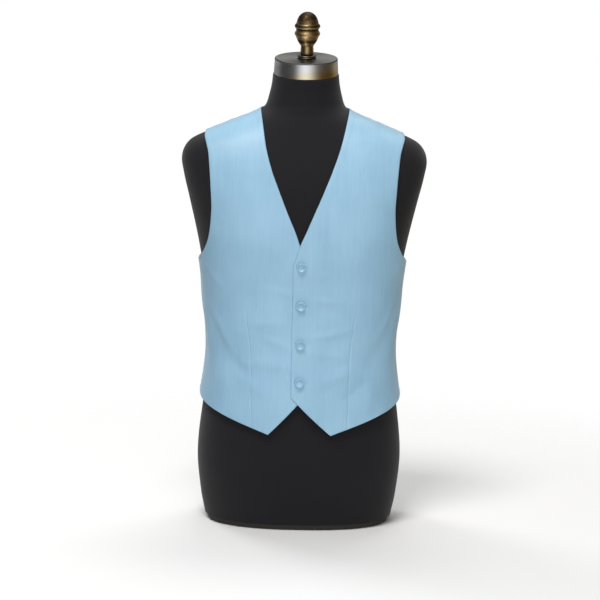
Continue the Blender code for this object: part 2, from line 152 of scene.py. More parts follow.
# %% A finish, made in a node tree
class Finish(Nodes):
    """A Principled material. Constants sit on the shader's own sockets."""

    def __init__(self, name, constants):
        self.material = bpy.data.materials.new(name)
        self.material.use_nodes = True
        super().__init__(self.material.node_tree)
        self.shader = self.tree.nodes["Principled BSDF"]
        for socket, value in constants.items():
            self.shader.inputs[socket].default_value = value
        print("finish:", name)

    def feed(self, socket, value):
        """Give the shader what varies over the surface."""
        self.join(value, self.shader.inputs[socket])

    def place(self, layer):
        """The two coordinates of a UV layer, in metres or turns."""
        return self.parts(self.node("ShaderNodeUVMap", {"uv_map": layer}, {}))[:2]

    def turned_place(self):
        """On a turned piece, how far east and north a point faces, and the profile's length."""
        turn, length = self.place("grain")
        around = turn * (2 * pi)
        return around.cosine(), around.sine(), length

    def flat_noise(self, place, scale, start, detail):
        """Noise over cloth or a board. The scale says how fine it is, across and along."""
        return self.noise(place[0] * scale[0], place[1] * scale[1], start, detail)

    def turned_noise(self, place, scale, detail):
        """Noise over a turned piece. The scale says how fine it is, round it and down it."""
        east, north, length = place
        return self.noise(east * scale[0], north * scale[0], length * scale[1], detail)

    def bump(self, height, distance, strength):
        """Fine relief, with its height in units of distance."""
        sockets = {"Height": height, "Distance": distance, "Strength": strength}
        self.feed("Normal", self.node("ShaderNodeBump", {}, sockets))


# %% [markdown]
# ## The surface of the form
#
# A tailor's form is a stack of rounded rectangles: wide at the hips, narrow at the waist, wide again
# at the chest, and then quickly narrow over the shoulders to the neck. A short table holds a row for
# each level, and a smooth line through the rows gives every level between. The solid model was made
# from the same rows, so the fine surface lies on it everywhere.

# %% Tables of the form and of the gap between form and cloth
Section = namedtuple("Section", "height half_width front back centre square lean")
NECK_TOP = 0.772
BODY = [
    # height, half_width, front, back, centre, square, lean
    Section(0.000, 0.161, 0.105, 0.114, 0.000, 2.35, 0.000),
    Section(0.050, 0.171, 0.113, 0.123, 0.000, 2.35, 0.000),
    Section(0.115, 0.177, 0.118, 0.130, 0.000, 2.35, 0.000),
    Section(0.210, 0.168, 0.116, 0.121, 0.000, 2.35, 0.000),
    Section(0.305, 0.153, 0.108, 0.105, 0.000, 2.30, 0.000),
    Section(0.400, 0.164, 0.114, 0.114, 0.000, 2.35, 0.000),
    Section(0.490, 0.180, 0.123, 0.126, 0.000, 2.45, 0.000),
    Section(0.560, 0.196, 0.117, 0.127, 0.000, 2.60, 0.000),
    Section(0.604, 0.2065, 0.1068, 0.1192, 0.000, 2.68, 0.000),
    Section(0.626, 0.2100, 0.0992, 0.1112, 0.000, 2.65, 0.000),
    Section(0.635, 0.2091, 0.0958, 0.1076, 0.000, 2.61, 0.000),
    Section(0.644, 0.2060, 0.0922, 0.1038, 0.000, 2.56, 0.000),
    Section(0.652, 0.2011, 0.0889, 0.1002, 0.000, 2.50, 0.000),
    Section(0.659, 0.1941, 0.0860, 0.0970, 0.000, 2.44, 0.000),
    Section(0.665, 0.1840, 0.0834, 0.0941, 0.000, 2.39, 0.000),
    Section(0.676, 0.1585, 0.0787, 0.0887, 0.000, 2.30, 0.000),
    Section(0.690, 0.1250, 0.0730, 0.0815, 0.000, 2.20, 0.000),
    Section(0.703, 0.092, 0.068, 0.074, 0.000, 2.10, 0.010),
    Section(0.712, 0.0745, 0.0655, 0.070, -0.001, 2.05, 0.031),
    Section(0.722, 0.0665, 0.0630, 0.066, -0.002, 2.00, 0.069),
    Section(0.735, 0.0625, 0.0605, 0.062, -0.004, 2.00, 0.119),
    Section(0.755, 0.0580, 0.0575, 0.058, -0.007, 2.00, 0.175),
    Section(NECK_TOP, 0.0560, 0.0560, 0.0560, -0.010, 2.00, 0.198),
]

Gap = namedtuple("Gap", "height front side back")
GAPS = [
    # height, then how far the cloth stands off the form at the front, side and back
    Gap(0.160, 0.0045, 0.0050, 0.0040),
    Gap(0.225, 0.0050, 0.0065, 0.0060),
    Gap(0.305, 0.0070, 0.0105, 0.0100),
    Gap(0.400, 0.0035, 0.0070, 0.0065),
    Gap(0.490, 0.0014, 0.0030, 0.0018),
    Gap(0.580, 0.0013, 0.0014, 0.0014),
    Gap(0.650, 0.0012, 0.0011, 0.0016),
    Gap(0.720, 0.0012, 0.0012, 0.0018),
]
print("the form has", len(BODY), "sections up to", NECK_TOP, "m")


# %% A smooth line through a table's rows
def smooth_step(value, start, end):
    """0 at start and 1 at end, easing in and out."""
    share = np.clip((value - start) / (end - start), 0.0, 1.0)
    return share * share * (3 - 2 * share)


def column(rows, name, height):
    """A table's column at the given heights, on a smooth line that never overshoots its rows."""
    heights = np.array([row.height for row in rows])
    values = np.array([getattr(row, name) for row in rows])
    steps = np.diff(values) / np.diff(heights)
    slopes = np.concatenate(([steps[0]], np.zeros(len(steps) - 1), [steps[-1]]))
    before, after = steps[:-1], steps[1:]
    same_way = before * after > 0
    slopes[1:-1][same_way] = 2 * (before * after)[same_way] / (before + after)[same_way]
    height = np.clip(height, heights[0], heights[-1])
    low = np.clip(np.searchsorted(heights, height, side="right") - 1, 0, len(steps) - 1)
    width = heights[low + 1] - heights[low]
    share = (height - heights[low]) / width
    rest = 1 - share
    return (
        (1 + 2 * share) * rest**2 * values[low]
        + share * rest**2 * width * slopes[low]
        + share**2 * (3 - 2 * share) * values[low + 1]
        - share**2 * rest * width * slopes[low + 1]
    )


# %% Points and normals on the form
HALVINGS = 40


def body_point(angle, height):
    """The form's surface at angles in radians, 0 at the centre front, and heights."""
    half_width = column(BODY, "half_width", height)
    front = column(BODY, "front", height)
    back = column(BODY, "back", height)
    square = column(BODY, "square", height)
    depth = np.where(np.cos(angle) > 0, front, back)
    across = np.abs(np.sin(angle) / half_width) ** square
    along = np.abs(np.cos(angle) / depth) ** square
    reach = (across + along) ** (-1 / square)
    y = -reach * np.cos(angle)
    x = reach * np.sin(angle)
    return np.stack(
        [x, column(BODY, "centre", height) + y, height + column(BODY, "lean", height) * y],
        axis=-1,
    )


def body_normal(angle, height):
    """The direction straight out of the form's surface."""
    turn, rise = 0.004, 0.0008
    around = body_point(angle + turn, height) - body_point(angle - turn, height)
    up = body_point(angle, height + rise) - body_point(angle, height - rise)
    out = np.cross(around, up)
    return out / np.linalg.norm(out, axis=-1, keepdims=True)


def angle_across(across, height):
    """The angle at which the form's surface lies that far across, on the front half."""
    low = np.full(np.shape(height), -pi / 2)
    high = np.full(np.shape(height), pi / 2)
    for _ in range(HALVINGS):
        middle = (low + high) / 2
        inside = body_point(middle, height)[..., 0] < across
        low = np.where(inside, middle, low)
        high = np.where(inside, high, middle)
    return (low + high) / 2


CHEST_LEVEL = 0.49
print("chest front at", body_point(np.array(0.0), np.array(CHEST_LEVEL)).round(3))

# %% [markdown]
# ## Grain: where a thread runs on the cloth
#
# Weave and knit need coordinates in real lengths, or they stretch over the chest. The surface is
# measured once on a coarse net: how far round from the centre front, and how far up from the bottom.
# Every vertex then reads its own two lengths from the net, and keeps them in a UV layer called grain.
# The backs are cut along their own seam, so their lengths across start from the centre back.

# %% Measure the surface
NET_ANGLES = np.linspace(-pi, pi, 361)
NET_HEIGHTS = np.linspace(0.0, NECK_TOP, 260)


def measure_net():
    """Lengths round the form from the centre front, and up from its bottom."""
    angle, height = np.meshgrid(NET_ANGLES, NET_HEIGHTS)
    points = body_point(angle, height)
    round_steps = np.linalg.norm(np.diff(points, axis=1), axis=-1)
    around = np.hstack((np.zeros((len(NET_HEIGHTS), 1)), np.cumsum(round_steps, axis=1)))
    around -= around[:, len(NET_ANGLES) // 2][:, None]
    rise_steps = np.linalg.norm(np.diff(points, axis=0), axis=-1)
    up = np.vstack((np.zeros((1, len(NET_ANGLES))), np.cumsum(rise_steps, axis=0)))
    return around, up


NET_AROUND, NET_UP = measure_net()


def grain_of(angle, height):
    """The two lengths in metres at places on the form."""
    column_at = (angle + pi) / (2 * pi) * (len(NET_ANGLES) - 1)
    row_at = np.clip(height / NECK_TOP, 0, 1) * (len(NET_HEIGHTS) - 1)
    j = np.clip(column_at.astype(int), 0, len(NET_ANGLES) - 2)
    i = np.clip(row_at.astype(int), 0, len(NET_HEIGHTS) - 2)
    s, t = column_at - j, row_at - i
    found = []
    for net in (NET_AROUND, NET_UP):
        low = net[i, j] * (1 - s) + net[i, j + 1] * s
        high = net[i + 1, j] * (1 - s) + net[i + 1, j + 1] * s
        found.append(low * (1 - t) + high * t)
    return np.stack(found, axis=-1)


girth = np.interp(CHEST_LEVEL, NET_HEIGHTS, 2 * NET_AROUND[:, -1])
print("round the chest:", round(float(girth), 3), "m")

# %% [markdown]
# ## From grids of points to meshes
#
# Each piece here is a grid of points, a closed wall between two grids, a stack of rings or a turned
# profile. Building them with arrays is quick, and the grain goes in at the same time, corner by corner.
# One table says which solid each piece takes the place of, and which of the record's finishes it has.
# The purl stitches stand for no solid, because a solid model leaves out things that small.

# %% What each piece stands for
STANDS_FOR = {
    # piece: the solid whose place it takes, and the record's material slot
    "padded_torso": ("form_torso", "jersey"),
    "base_board": ("bottom_board", "board"),
    "steel_cap": ("neck_cap", "steel"),
    "screw_collar": ("finial_collar", "dark_collar"),
    "turned_finial": ("finial", "antique_brass"),
    "front_left_satin": ("vest_front_left", "satin_cloth"),
    "front_right_satin": ("vest_front_right", "satin_cloth"),
    "back_left_satin": ("vest_back_left", "satin_cloth"),
    "back_right_satin": ("vest_back_right", "satin_cloth"),
    "covered_button_1": ("button_1", "button_cloth"),
    "covered_button_2": ("button_2", "button_cloth"),
    "covered_button_3": ("button_3", "button_cloth"),
    "covered_button_4": ("button_4", "button_cloth"),
    "buttonhole_purl": (None, "button_cloth"),
}
print(len(STANDS_FOR), "pieces to make")


# %% A new piece
SHARP_ANGLE = radians(50)


def new_piece(name, points, faces, grain, finish):
    """A mesh object with its grain, shaded smooth, riding on the one body."""
    mesh = bpy.data.meshes.new(name)
    mesh.from_pydata(points.tolist(), [], faces)
    layer = mesh.uv_layers.new(name="grain")
    corner_vertices = np.zeros(len(mesh.loops), dtype=np.int32)
    mesh.loops.foreach_get("vertex_index", corner_vertices)
    layer.data.foreach_set("uv", grain[corner_vertices].astype(np.float32).ravel())
    mesh.materials.append(finish.material)
    mesh.shade_smooth()
    mesh.set_sharp_from_angle(angle=SHARP_ANGLE)
    piece = bpy.data.objects.new(name, mesh)
    bpy.context.scene.collection.objects.link(piece)
    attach(piece, "root")
    node, slot = STANDS_FOR[name]
    if node:
        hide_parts(node)
    print(name, "has", len(faces), "faces")
    return piece


# %% Faces of grids and walls
def grid_faces(rows, columns, start, flip):
    """The quads of a grid whose vertices are numbered row by row."""
    i, j = np.meshgrid(np.arange(rows - 1), np.arange(columns - 1), indexing="ij")
    a = (start + i * columns + j).ravel()
    corners = [a, a + 1, a + columns + 1, a + columns]
    if flip:
        corners.reverse()
    return np.stack(corners, axis=-1).tolist()


def rim_of(rows, columns):
    """The vertex numbers round a grid's edge, in order."""
    grid = np.arange(rows * columns).reshape(rows, columns)
    return np.concatenate(
        (grid[0, :-1], grid[:-1, -1], grid[-1, :0:-1], grid[:0:-1, 0])
    ).tolist()


def wall_faces(rows, columns, flip):
    """The faces of a closed wall: an outer grid, an inner grid and the rim between them."""
    count = rows * columns
    faces = grid_faces(rows, columns, 0, flip) + grid_faces(rows, columns, count, not flip)
    rim = rim_of(rows, columns)
    for a, b in zip(rim, rim[1:] + rim[:1]):
        band = [b, a, a + count, b + count]
        faces.append(band[::-1] if flip else band)
    return faces


# %% Stacks of rings
def ring_faces(rows, columns, downward=False):
    """The quads between closed rings, whose vertices are numbered ring by ring."""
    numbers = np.arange(rows * columns).reshape(rows, columns)
    numbers = np.hstack((numbers, numbers[:, :1]))
    corners = [numbers[:-1, :-1], numbers[:-1, 1:], numbers[1:, 1:], numbers[1:, :-1]]
    if downward:
        corners[1], corners[3] = corners[3], corners[1]
    return np.stack(corners, axis=-1).reshape(-1, 4).tolist()


def solid_faces(rows, columns):
    """The faces of a stack of rings, with its two flat ends."""
    last = (rows - 1) * columns
    ends = [list(range(columns))[::-1], list(range(last, last + columns))]
    return ring_faces(rows, columns) + ends


def ring_piece(name, rings, grain, finish):
    """A closed piece from a stack of rings, bottom to top."""
    faces = solid_faces(*rings.shape[:2])
    return new_piece(name, rings.reshape(-1, 3), faces, grain.reshape(-1, 2), finish)


# %% Smooth lines and their lengths
def smooth_line(rows, steps):
    """A smooth line through rows of numbers, with so many steps from each row to the next."""
    knots = np.array(rows)
    knots = np.vstack((2 * knots[0] - knots[1], knots, 2 * knots[-1] - knots[-2]))
    share = np.linspace(0, 1, steps, endpoint=False)[:, None]
    pieces = []
    for a, b, c, d in zip(knots, knots[1:], knots[2:], knots[3:]):
        bend = (2 * a - 5 * b + 4 * c - d) * share**2 + (3 * b - a - 3 * c + d) * share**3
        pieces.append((2 * b + (c - a) * share + bend) / 2)
    return np.vstack((*pieces, knots[-2:-1]))


def fine_profile(rows, steps):
    """A smooth line through a profile's rows of radius and height."""
    line = smooth_line(rows, steps)
    line[:, 0] = np.maximum(line[:, 0], 0.0)
    return line


def travelled(points):
    """How far along a line of points each of them lies."""
    return np.concatenate(([0.0], np.cumsum(np.linalg.norm(np.diff(points, axis=0), axis=1))))


# %% Turned pieces
def turned_piece(name, profile, place, steps, finish, ripple=None):
    """A solid turned from a profile that runs from its top centre to its bottom centre."""
    turn = np.linspace(0, 2 * pi, steps + 1)[None, :-1]
    radius, height = profile[1:-1, 0][:, None], profile[1:-1, 1][:, None]
    if ripple is not None:
        radius = radius + ripple(turn, height)
    rings = np.stack([radius * np.cos(turn), radius * np.sin(turn), height + 0 * turn], axis=-1)
    length = travelled(profile)
    grain = np.stack(np.broadcast_arrays(turn / (2 * pi), length[1:-1, None]), axis=-1)
    rows = len(rings)
    faces = ring_faces(rows, steps, downward=True)
    last, top, bottom = (rows - 1) * steps, rows * steps, rows * steps + 1
    for i in range(steps):
        k = (i + 1) % steps
        faces.append([top, i, k])
        faces.append([bottom, last + k, last + i])
    ends = [[0, 0, profile[0, 1]], [0, 0, profile[-1, 1]]]
    points = np.vstack((rings.reshape(-1, 3), ends))
    grain = np.vstack((grain.reshape(-1, 2), [[0, 0], [0, length[-1]]]))
    matrix = np.array(place)
    return new_piece(name, points @ matrix[:3, :3].T + matrix[:3, 3], faces, grain, finish)


print("mesh helpers ready")

# %% [markdown]
# ## Satin
#
# The vest is a low-lustre satin: long warp floats that catch a broad soft highlight, with a faint
# diagonal from the weave and slight streaks along the thread. The colour varies only a little. The
# weave is bump, since a float is under half a millimetre wide, and a little sheen lifts the edges
# where the cloth turns away, as thread ends do on the real thing.

# %% Satin finish
FLOAT_WIDTH = 0.00045
FLOAT_LENGTH = 0.0016
PICK = 0.00060
# how fine each kind of noise is, across and along the thread, in patches to a metre
STREAKS = (1400, 40)
SLUBS = (320, 9)
CLOUDS = (18, 14)
SATIN_DARK = (0.240, 0.432, 0.588, 1.0)
SATIN_LIGHT = (0.315, 0.520, 0.680, 1.0)
BUTTON_DARK = (0.250, 0.450, 0.600, 1.0)
BUTTON_LIGHT = (0.325, 0.535, 0.690, 1.0)


def satin_finish(name, dark, light, rough):
    """Satin with its floats along the grain."""
    finish = Finish(
        name,
        {
            "Sheen Weight": 0.25,
            "Sheen Roughness": 0.35,
            "Sheen Tint": (0.85, 0.93, 1.0, 1.0),
            "Specular IOR Level": 0.5,
            "Anisotropic": 0.25,
        },
    )
    place = finish.place("grain")
    across, along = place
    streak = finish.flat_noise(place, STREAKS, 0.0, 2.0)
    slub = finish.flat_noise(place, SLUBS, 7.0, 2.0)
    cloud = finish.flat_noise(place, CLOUDS, 3.0, 3.0)
    shade = streak * 0.30 + slub * 0.25 + cloud * 0.45
    finish.feed("Base Color", finish.blend(finish.between(shade, 0.25, 0.75), dark, light))
    finish.feed("Roughness", rough + (streak - 0.5) * 0.16 + (cloud - 0.5) * 0.10)
    diagonal = (across * (2 * pi / FLOAT_WIDTH) + along * (2 * pi / FLOAT_LENGTH)).sine()
    picks = (along * (2 * pi / PICK)).sine()
    finish.bump(diagonal * 0.5 + picks * 0.2 + streak * 0.8, 0.00004, 0.7)
    return finish


satin = satin_finish("vest satin", SATIN_DARK, SATIN_LIGHT, 0.43)
button_satin = satin_finish("button satin", BUTTON_DARK, BUTTON_LIGHT, 0.38)
purl = satin_finish("purl thread", SATIN_DARK, SATIN_LIGHT, 0.50)

# %% [markdown]
# ## Jersey
#
# The form is covered in black knitted jersey. Seen close, its stitches are small V shapes in upright
# columns. A wave whose phase depends on the distance from the middle of its column draws them, which
# takes a few Math nodes and no picture of a knit.

# %% Jersey finish
WALE = 0.0011
COURSE = 0.0009
STITCH_SLOPE = 1.4
FUZZ = (900, 900)
JERSEY_CLOUDS = (9, 9)
JERSEY_DARK = (0.0048, 0.0046, 0.0062, 1.0)
JERSEY_LIGHT = (0.0095, 0.0091, 0.0118, 1.0)


def jersey_finish():
    """Black jersey with its columns of V stitches."""
    finish = Finish(
        "black jersey",
        {"Sheen Weight": 0.10, "Sheen Roughness": 0.5, "Specular IOR Level": 0.22},
    )
    place = finish.place("grain")
    across, along = place
    from_middle = abs((across / WALE).fraction() - 0.5)
    stitch = ((along / COURSE + from_middle * STITCH_SLOPE) * (2 * pi)).sine()
    groove = (from_middle * (2 * pi)).cosine()
    fuzz = finish.flat_noise(place, FUZZ, 1.0, 3.0)
    cloud = finish.flat_noise(place, JERSEY_CLOUDS, 5.0, 2.0)
    shade = cloud * 0.6 + fuzz * 0.4
    finish.feed("Base Color", finish.blend(shade, JERSEY_DARK, JERSEY_LIGHT))
    finish.feed("Roughness", 0.80 + (fuzz - 0.5) * 0.2)
    finish.bump(stitch * 0.35 + groove * 0.3 + fuzz * 0.5, 0.00012, 0.6)
    return finish


jersey = jersey_finish()

# %% [markdown]
# ## Metals and the board
#
# The cap is spun steel, so its brush lines run round it. Noise that is stretched along the turn, and
# joined up by its sine and cosine, gives lines with no seam. Random stains dull it a little. Its top
# and the corner of its rim are painted darker, as painted shade, and towards its lower edge a painted
# warm reflection yellows it, amber at the wearer's left and fading out at the wearer's right. The
# finial is
# antiqued brass: polish on the beads and the stem, brown patina in the groove between the beads, and
# painted shade on the crown, on the first bead's upper slope, under the bulb and at the stem's foot.
# The length along the profile tells each finish where these places are.


# %% Steel finish
# how fine each kind of noise is, round the axis and down the profile
STEEL_LINES = (2.2, 2600)
STEEL_FINE_LINES = (9, 9000)
STEEL_STAINS = (1.3, 42)
# where the looks change, by the profile's length in metres, and how far east
STEEL_SHADED_TOP_END = (0.0505, 0.0545)
STEEL_CORNER = 0.0530
STEEL_CORNER_REACH = (0.0012, 0.0030)
# where the painted warm reflection starts down the profile, the side where it fades out, and the side
# where it turns amber
STEEL_WARM_REFLECTION_START = (0.062, 0.078)
STEEL_UNREFLECTING_SIDE = (-0.80, -0.25)
STEEL_AMBER_SIDE = (0.10, 0.80)
STEEL_GREY = (0.50, 0.50, 0.52, 1.0)
STEEL_BRIGHT = (0.74, 0.74, 0.76, 1.0)
# colour of the random stains, and of the painted shade on the top face
STEEL_STAIN_AND_TOP_SHADE = (0.25, 0.24, 0.210, 1.0)
# the painted shade round the corner of the rim
STEEL_CORNER_SHADE = (0.10, 0.10, 0.105, 1.0)
# the painted warm reflection: yellow, and amber at the wearer's left
STEEL_WARM_REFLECTION = (0.66, 0.60, 0.42, 1.0)
STEEL_AMBER_REFLECTION = (0.56, 0.39, 0.15, 1.0)


def steel_finish():
    """Spun and brushed steel with random stains, painted shade on its top and its corner, and a painted
    warm reflection below.
    """
    finish = Finish("brushed steel", {"Metallic": 1.0, "Anisotropic": 0.35})
    place = finish.turned_place()
    east, north, length = place
    lines = finish.turned_noise(place, STEEL_LINES, 3.0)
    fine = finish.turned_noise(place, STEEL_FINE_LINES, 2.0)
    stain = finish.turned_noise(place, STEEL_STAINS, 3.0)
    grey = finish.blend(lines, STEEL_GREY, STEEL_BRIGHT)
    # painted shade: the top face is painted darker, and random stains darken spots elsewhere
    shaded_top = 1 - finish.between(length, *STEEL_SHADED_TOP_END)
    corner = 1 - finish.between(abs(length - STEEL_CORNER), *STEEL_CORNER_REACH)
    stains_and_top_shade = finish.between(stain, 0.45, 0.70) * 0.35 + shaded_top * 0.86
    grey = finish.blend(stains_and_top_shade, grey, STEEL_STAIN_AND_TOP_SHADE)
    # painted shade: a dark line painted round the corner of the rim
    grey = finish.blend(corner * 0.92, grey, STEEL_CORNER_SHADE)
    # painted reflection: warm towards the lower edge, none at the wearer's right, amber at the wearer's
    # left
    warm_reflection = finish.between(length + (stain - 0.5) * 0.010, *STEEL_WARM_REFLECTION_START)
    warm_reflection = warm_reflection * finish.between(east, *STEEL_UNREFLECTING_SIDE)
    brown = finish.between(east, *STEEL_AMBER_SIDE)
    painted_reflection = finish.blend(brown, STEEL_WARM_REFLECTION, STEEL_AMBER_REFLECTION)
    finish.feed("Base Color", finish.blend(warm_reflection, grey, painted_reflection))
    finish.feed("Roughness", 0.27 + (lines - 0.5) * 0.12 + stain * 0.06 + corner * 0.30)
    finish.bump((lines * 0.6 + fine * 0.4) * (1 - corner * 0.9), 0.00003, 0.5)
    return finish


steel = steel_finish()


# %% Brass finish
# where the painted shade on the crown fades out, down the profile
SHADED_CROWN_END = (0.014, 0.034)
GROOVE_CORE = 0.0003
BRASS_PATCHES = (2.2, 160)
BRASS_SCRATCHES = (5, 5000)
BRASS_DARK = (0.30, 0.205, 0.088, 1.0)
BRASS_LIGHT = (0.49, 0.352, 0.178, 1.0)
# brown for the patina in the groove and for the painted shade
BRASS_PATINA_AND_SHADE = (0.045, 0.030, 0.014, 1.0)


def brass_finish(dark_bands):
    """Antiqued brass, with painted shade at its crown and brown at each dark band: patina in the
    groove, painted shade at the others.
    """
    finish = Finish("antique brass", {"Metallic": 1.0})
    place = finish.turned_place()
    length = place[2]
    patches = finish.turned_noise(place, BRASS_PATCHES, 4.0)
    scratches = finish.turned_noise(place, BRASS_SCRATCHES, 2.0)
    dark = 0.0
    # each dark band: patina in the groove between the beads, painted shade at the other rows
    for middle, reach, depth in dark_bands:
        near = 1 - finish.between(abs(length - middle), GROOVE_CORE, reach)
        dark = near * depth + dark
    # painted shade: the crown is painted brown
    crown = 1 - finish.between(length, *SHADED_CROWN_END)
    shade = finish.between(dark * 0.8 + crown * 0.70 + patches, 0.42, 1.15)
    polished = finish.blend(patches, BRASS_DARK, BRASS_LIGHT)
    finish.feed("Base Color", finish.blend(shade, polished, BRASS_PATINA_AND_SHADE))
    finish.feed("Roughness", 0.30 + shade * 0.22 + scratches * 0.06)
    finish.bump(scratches * 0.4 + patches * 0.1, 0.00005, 0.35)
    return finish


print("brown crown ends by", SHADED_CROWN_END[1], "m down the profile")


# %% Collar finish
COLLAR_WEAR = (3, 400)
COLLAR_DARK = (0.07, 0.065, 0.055, 1.0)
COLLAR_LIGHT = (0.17, 0.15, 0.12, 1.0)


def collar_finish():
    """A dark metal fitting with slight wear."""
    finish = Finish("dark collar", {"Metallic": 0.85})
    wear = finish.turned_noise(finish.turned_place(), COLLAR_WEAR, 3.0)
    finish.feed("Base Color", finish.blend(wear, COLLAR_DARK, COLLAR_LIGHT))
    finish.feed("Roughness", 0.30 + (wear - 0.5) * 0.2)
    finish.bump(wear, 0.00004, 0.5)
    return finish


collar_metal = collar_finish()


# %% Board finish
GROWTH_RINGS = (9, 160)
WOOD_PORES = (60, 1500)
BOARD_DARK = (0.010, 0.009, 0.008, 1.0)
BOARD_LIGHT = (0.035, 0.030, 0.026, 1.0)


def board_finish():
    """Black-stained wood with its grain from left to right."""
    finish = Finish("stained board", {"Specular IOR Level": 0.4})
    place = finish.place("grain")
    rings = finish.flat_noise(place, GROWTH_RINGS, 0.0, 5.0)
    pores = finish.flat_noise(place, WOOD_PORES, 2.0, 2.0)
    finish.feed("Base Color", finish.blend(rings, BOARD_DARK, BOARD_LIGHT))
    finish.feed("Roughness", 0.5 + pores * 0.25)
    finish.bump(rings * 0.5 + pores * 0.5, 0.00015, 0.6)
    return finish


board = board_finish()

# %% [markdown]
# ## The padded torso
#
# The torso is one smooth grid of rings, closed at the neck and at the bottom. Nothing on it is pleated
# or seamed where it shows, because the jersey is a stretched tube, so the fine rings alone do it. The
# rings crowd together over the shoulders, where the body narrows quickly.

# %% Torso
BOARD_THICKNESS = 0.009
PIECE_GAP = 0.0003
TORSO_RINGS = 210
TORSO_POINTS = 200
SHOULDER_WEIGHT = 2.4
FINE_LEVELS = 2000


def torso_levels(count):
    """Heights of the rings, closer together where the half width changes quickly."""
    fine = np.linspace(BOARD_THICKNESS + PIECE_GAP, NECK_TOP, FINE_LEVELS)
    outline = np.stack([SHOULDER_WEIGHT * column(BODY, "half_width", fine), fine], axis=-1)
    so_far = travelled(outline)
    return np.interp(np.linspace(0, so_far[-1], count), so_far, fine)


def make_torso():
    """The jersey-covered torso and neck."""
    angle, height = np.meshgrid(
        np.linspace(-pi, pi, TORSO_POINTS + 1)[:-1], torso_levels(TORSO_RINGS)
    )
    return ring_piece("padded_torso", body_point(angle, height), grain_of(angle, height), jersey)


torso = make_torso()

# %% [markdown]
# ## The bottom board
#
# The form stands on a flat oval board that closes the padding. Its edges are eased, as a router
# leaves them, so that they catch a thin line of light. A few rings with a short table for the ease
# do it, where a bevel on a cylinder would not follow the form's own outline.

# %% Board
BOARD_INSET = 0.003
BOARD_EASE = 0.0012
BOARD_POINTS = 160
BOARD_EDGE = [
    # an eased edge, in shares of the ease: how far in from the side, and how far from the face
    (1.0, 0.0),
    (0.3, 0.3),
    (0.0, 1.0),
]


def make_board():
    """The flat oval board, with both of its edges eased."""
    angle = np.linspace(-pi, pi, BOARD_POINTS, endpoint=False)
    outline = body_point(angle, np.zeros(BOARD_POINTS))[:, :2]
    size = np.linalg.norm(outline, axis=1, keepdims=True)
    edges = [(inset, BOARD_EASE * rise) for inset, rise in BOARD_EDGE]
    edges += [(inset, BOARD_THICKNESS - rise) for inset, rise in edges[::-1]]
    rings = []
    for inset, level in edges:
        flat = outline * (1 - (BOARD_INSET + BOARD_EASE * inset) / size)
        rings.append(np.hstack((flat, np.full((BOARD_POINTS, 1), level))))
    rings = np.array(rings)
    return ring_piece("base_board", rings, rings[..., :2] + rings[..., 2:], board)


make_board()

# %% [markdown]
# ## Neck cap, collar and finial
#
# All three are turned pieces that lean forward with the neck, and the collar and the finial stand a
# millimetre to the wearer's left. The cap's rim is a small round. The finial's profile goes through
# its dome, two beads with a groove between them, the bulb and the stem, and a smooth line through a
# few rows keeps the beads crisp without many numbers.

# %% Neck fittings
NECK_LEAN = radians(11.2)
CAP_RADIUS = 0.0549
CAP_TOP_RADIUS = 0.0534
CAP_HEIGHT = 0.0280
CAP_ROUND = 0.0015
CAP_FOOT = 0.0006
CAP_STEPS = 160
CAP_TOP_RINGS = 20
CAP_RIM_RINGS = 9
CAP_SIDE_RINGS = 16
COLLAR_RADIUS = 0.0160
COLLAR_HEIGHT = 0.0046
COLLAR_BEVEL = 0.0012
FINIAL_SHIFT = 0.0010
FINIAL_STEPS = 96
FINIAL_LINE_STEPS = 6
FINIAL_PROFILE = [
    # radius and height, top to bottom
    (0.0000, 0.0727),
    (0.0050, 0.0720),
    (0.0086, 0.0704),
    (0.0116, 0.0683),
    (0.0139, 0.0657),
    (0.0158, 0.0627),
    (0.0171, 0.0596),
    (0.0181, 0.0566),
    (0.0189, 0.0534),
    (0.0208, 0.0509),
    (0.0217, 0.0489),
    (0.0214, 0.0473),
    (0.0194, 0.0441),
    (0.0187, 0.0425),
    (0.0193, 0.0409),
    (0.0214, 0.0371),
    (0.0215, 0.0350),
    (0.0204, 0.0330),
    (0.0192, 0.0307),
    (0.0180, 0.0278),
    (0.0161, 0.0233),
    (0.0137, 0.0194),
    (0.0114, 0.0163),
    (0.0107, 0.0140),
    (0.0105, 0.0000),
    (0.0000, 0.0000),
]
print("the finial is", FINIAL_PROFILE[0][1], "m high")

# %% Where the brass is brown: patina in the groove, painted shade elsewhere
DarkBand = namedtuple("DarkBand", "row reach depth")
FINIAL_DARK_BANDS = [
    # row of the profile where it darkens, how far round it, and how brown it is: patina in the groove
    # at row 12, painted shade on the first bead's upper slope, under the bulb and at the stem's foot
    DarkBand(9, 0.0034, 0.85),
    DarkBand(12, 0.0032, 1.00),
    DarkBand(20, 0.0070, 0.62),
    DarkBand(24, 0.0036, 0.80),
]
print("brown grooves:", len(FINIAL_DARK_BANDS))


# %% Turn the neck fittings
def neck_place(rise, shift=0.0):
    """A place on the leaning axis, that far above the top of the torso."""
    top = Matrix.Translation((0.0, BODY[-1].centre, NECK_TOP))
    return top @ Matrix.Rotation(NECK_LEAN, 4, "X") @ Matrix.Translation((shift, 0, rise))


